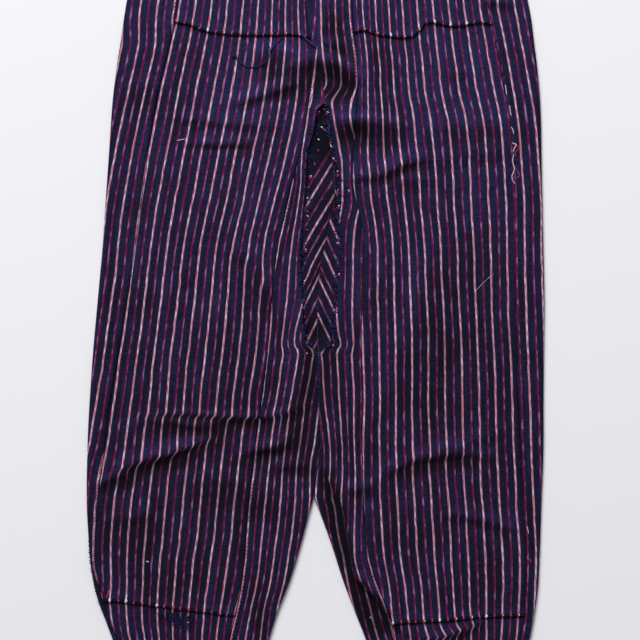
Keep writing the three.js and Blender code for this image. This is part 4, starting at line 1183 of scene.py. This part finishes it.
def yarnMaterial(name, dark, light):
    material, tree, shader = newMaterial(name, yarnFinish["surface"])
    place = tree.nodes.new("ShaderNodeSeparateXYZ")
    tree.links.new(tree.nodes.new("ShaderNodeTexCoord").outputs["Object"], place.inputs[0])
    fibre = speckle(tree, place.outputs[0], place.outputs[1], *yarnFinish["fibre"])
    share = mapped(tree, fibre, *yarnFinish["fibreRange"])
    put(tree, shader.inputs["Base Color"], mixed(tree, share, dark, light))
    addBump(tree, shader, fibre, yarnFinish["bump"], yarnFinish["bumpDepth"])
    return material


for colour, piece in yarnPieces.items():
    piece.data.materials.append(yarnMaterial(f"{colour}Yarn", *yarnInks[colour]))
    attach(piece, "root")
print("materials made")

for node, piece in pieces.items():
    isBand = node == "waistband" or node.endswith("hem_band")
    piece.data.materials.append(bandCloth if isBand else stripedCloth)
    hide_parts(node)
    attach(piece, "root")

studio = {"floorHalf": 6000, "floor": (0.86, 0.86, 0.88, 1), "lamp": 565.0, "lampSize": 3.2,
          "lampAt": (-1.7, 5.2, 4.3), "sky": 0.3, "skyColour": (0.95, 0.96, 1, 1)}
corners = np.array([(-1, -1, 0), (1, -1, 0), (1, 1, 0), (-1, 1, 0)])
floor = addMesh("floor", studio["floorHalf"] * corners, [(0, 1, 2, 3)])
floorSurface = {"Base Color": studio["floor"], "Roughness": 0.9, "Specular IOR Level": 0.1}
floor.data.materials.append(newMaterial("paleFloor", floorSurface)[0])
floor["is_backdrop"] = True

lampData = bpy.data.lights.new("softLamp", "AREA")
lampData.energy = studio["lamp"]
lampData.size = studio["lampSize"]
lamp = addObject("softLamp", lampData, studio["lampAt"])
lamp.rotation_euler = (-lamp.location).to_track_quat("-Z", "Y").to_euler()

world = bpy.data.worlds.new("studio")
world.use_nodes = True
world.node_tree.nodes["Background"].inputs[0].default_value = studio["skyColour"]
world.node_tree.nodes["Background"].inputs[1].default_value = studio["sky"]
bpy.context.scene.world = world

viewer = {"at": (4.2 * mm, 1.2 * mm, 2.0), "covers": 768 * mm, "sensor": 36.0}
cameraData = bpy.data.cameras.new("camera")
cameraData.sensor_width = viewer["sensor"]
cameraData.lens = viewer["sensor"] * viewer["at"][2] / viewer["covers"]
bpy.context.scene.camera = addObject("camera", cameraData, viewer["at"])
bpy.context.scene.view_settings.view_transform = "Standard"
print("studio made")

# Each piece of cloth as it was cut: its greatest width and its length in metres, and its area where it
# tapers. The stripes across a front or back piece give its width, its seam lines give a gusset half's.
cuts = {
    "left_front_hip": (0.178, 0.084, 0.0149), "right_front_hip": (0.188, 0.08, 0.0149),
    "left_front_thigh": (0.181, 0.689, 0.122), "right_front_thigh": (0.191, 0.707, 0.1327),
    "left_front_shin": (0.168, 0.093, 0.0145), "right_front_shin": (0.172, 0.079, 0.0131),
    "left_back": (0.365, 0.866, 0.3095), "right_back": (0.354, 0.866, 0.2955),
    "gusset_left": (0.035, 0.6, 0.0139), "gusset_right": (0.024, 0.6, 0.0071),
    "waistband": (0.9, 0.03, None),
    "left_hem_band": (0.298, 0.024, None), "right_hem_band": (0.315, 0.024, None),
}
for node, piece in pieces.items():
    width, length, area = cuts[node]
    under = pieces[node.split("_")[0] + "_back"] if "front" in node else floor

plainBox = lambda box: [[float(c) for c in corner] for corner in box]
{"cad": plainBox(cadBox), "visual": plainBox(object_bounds())}
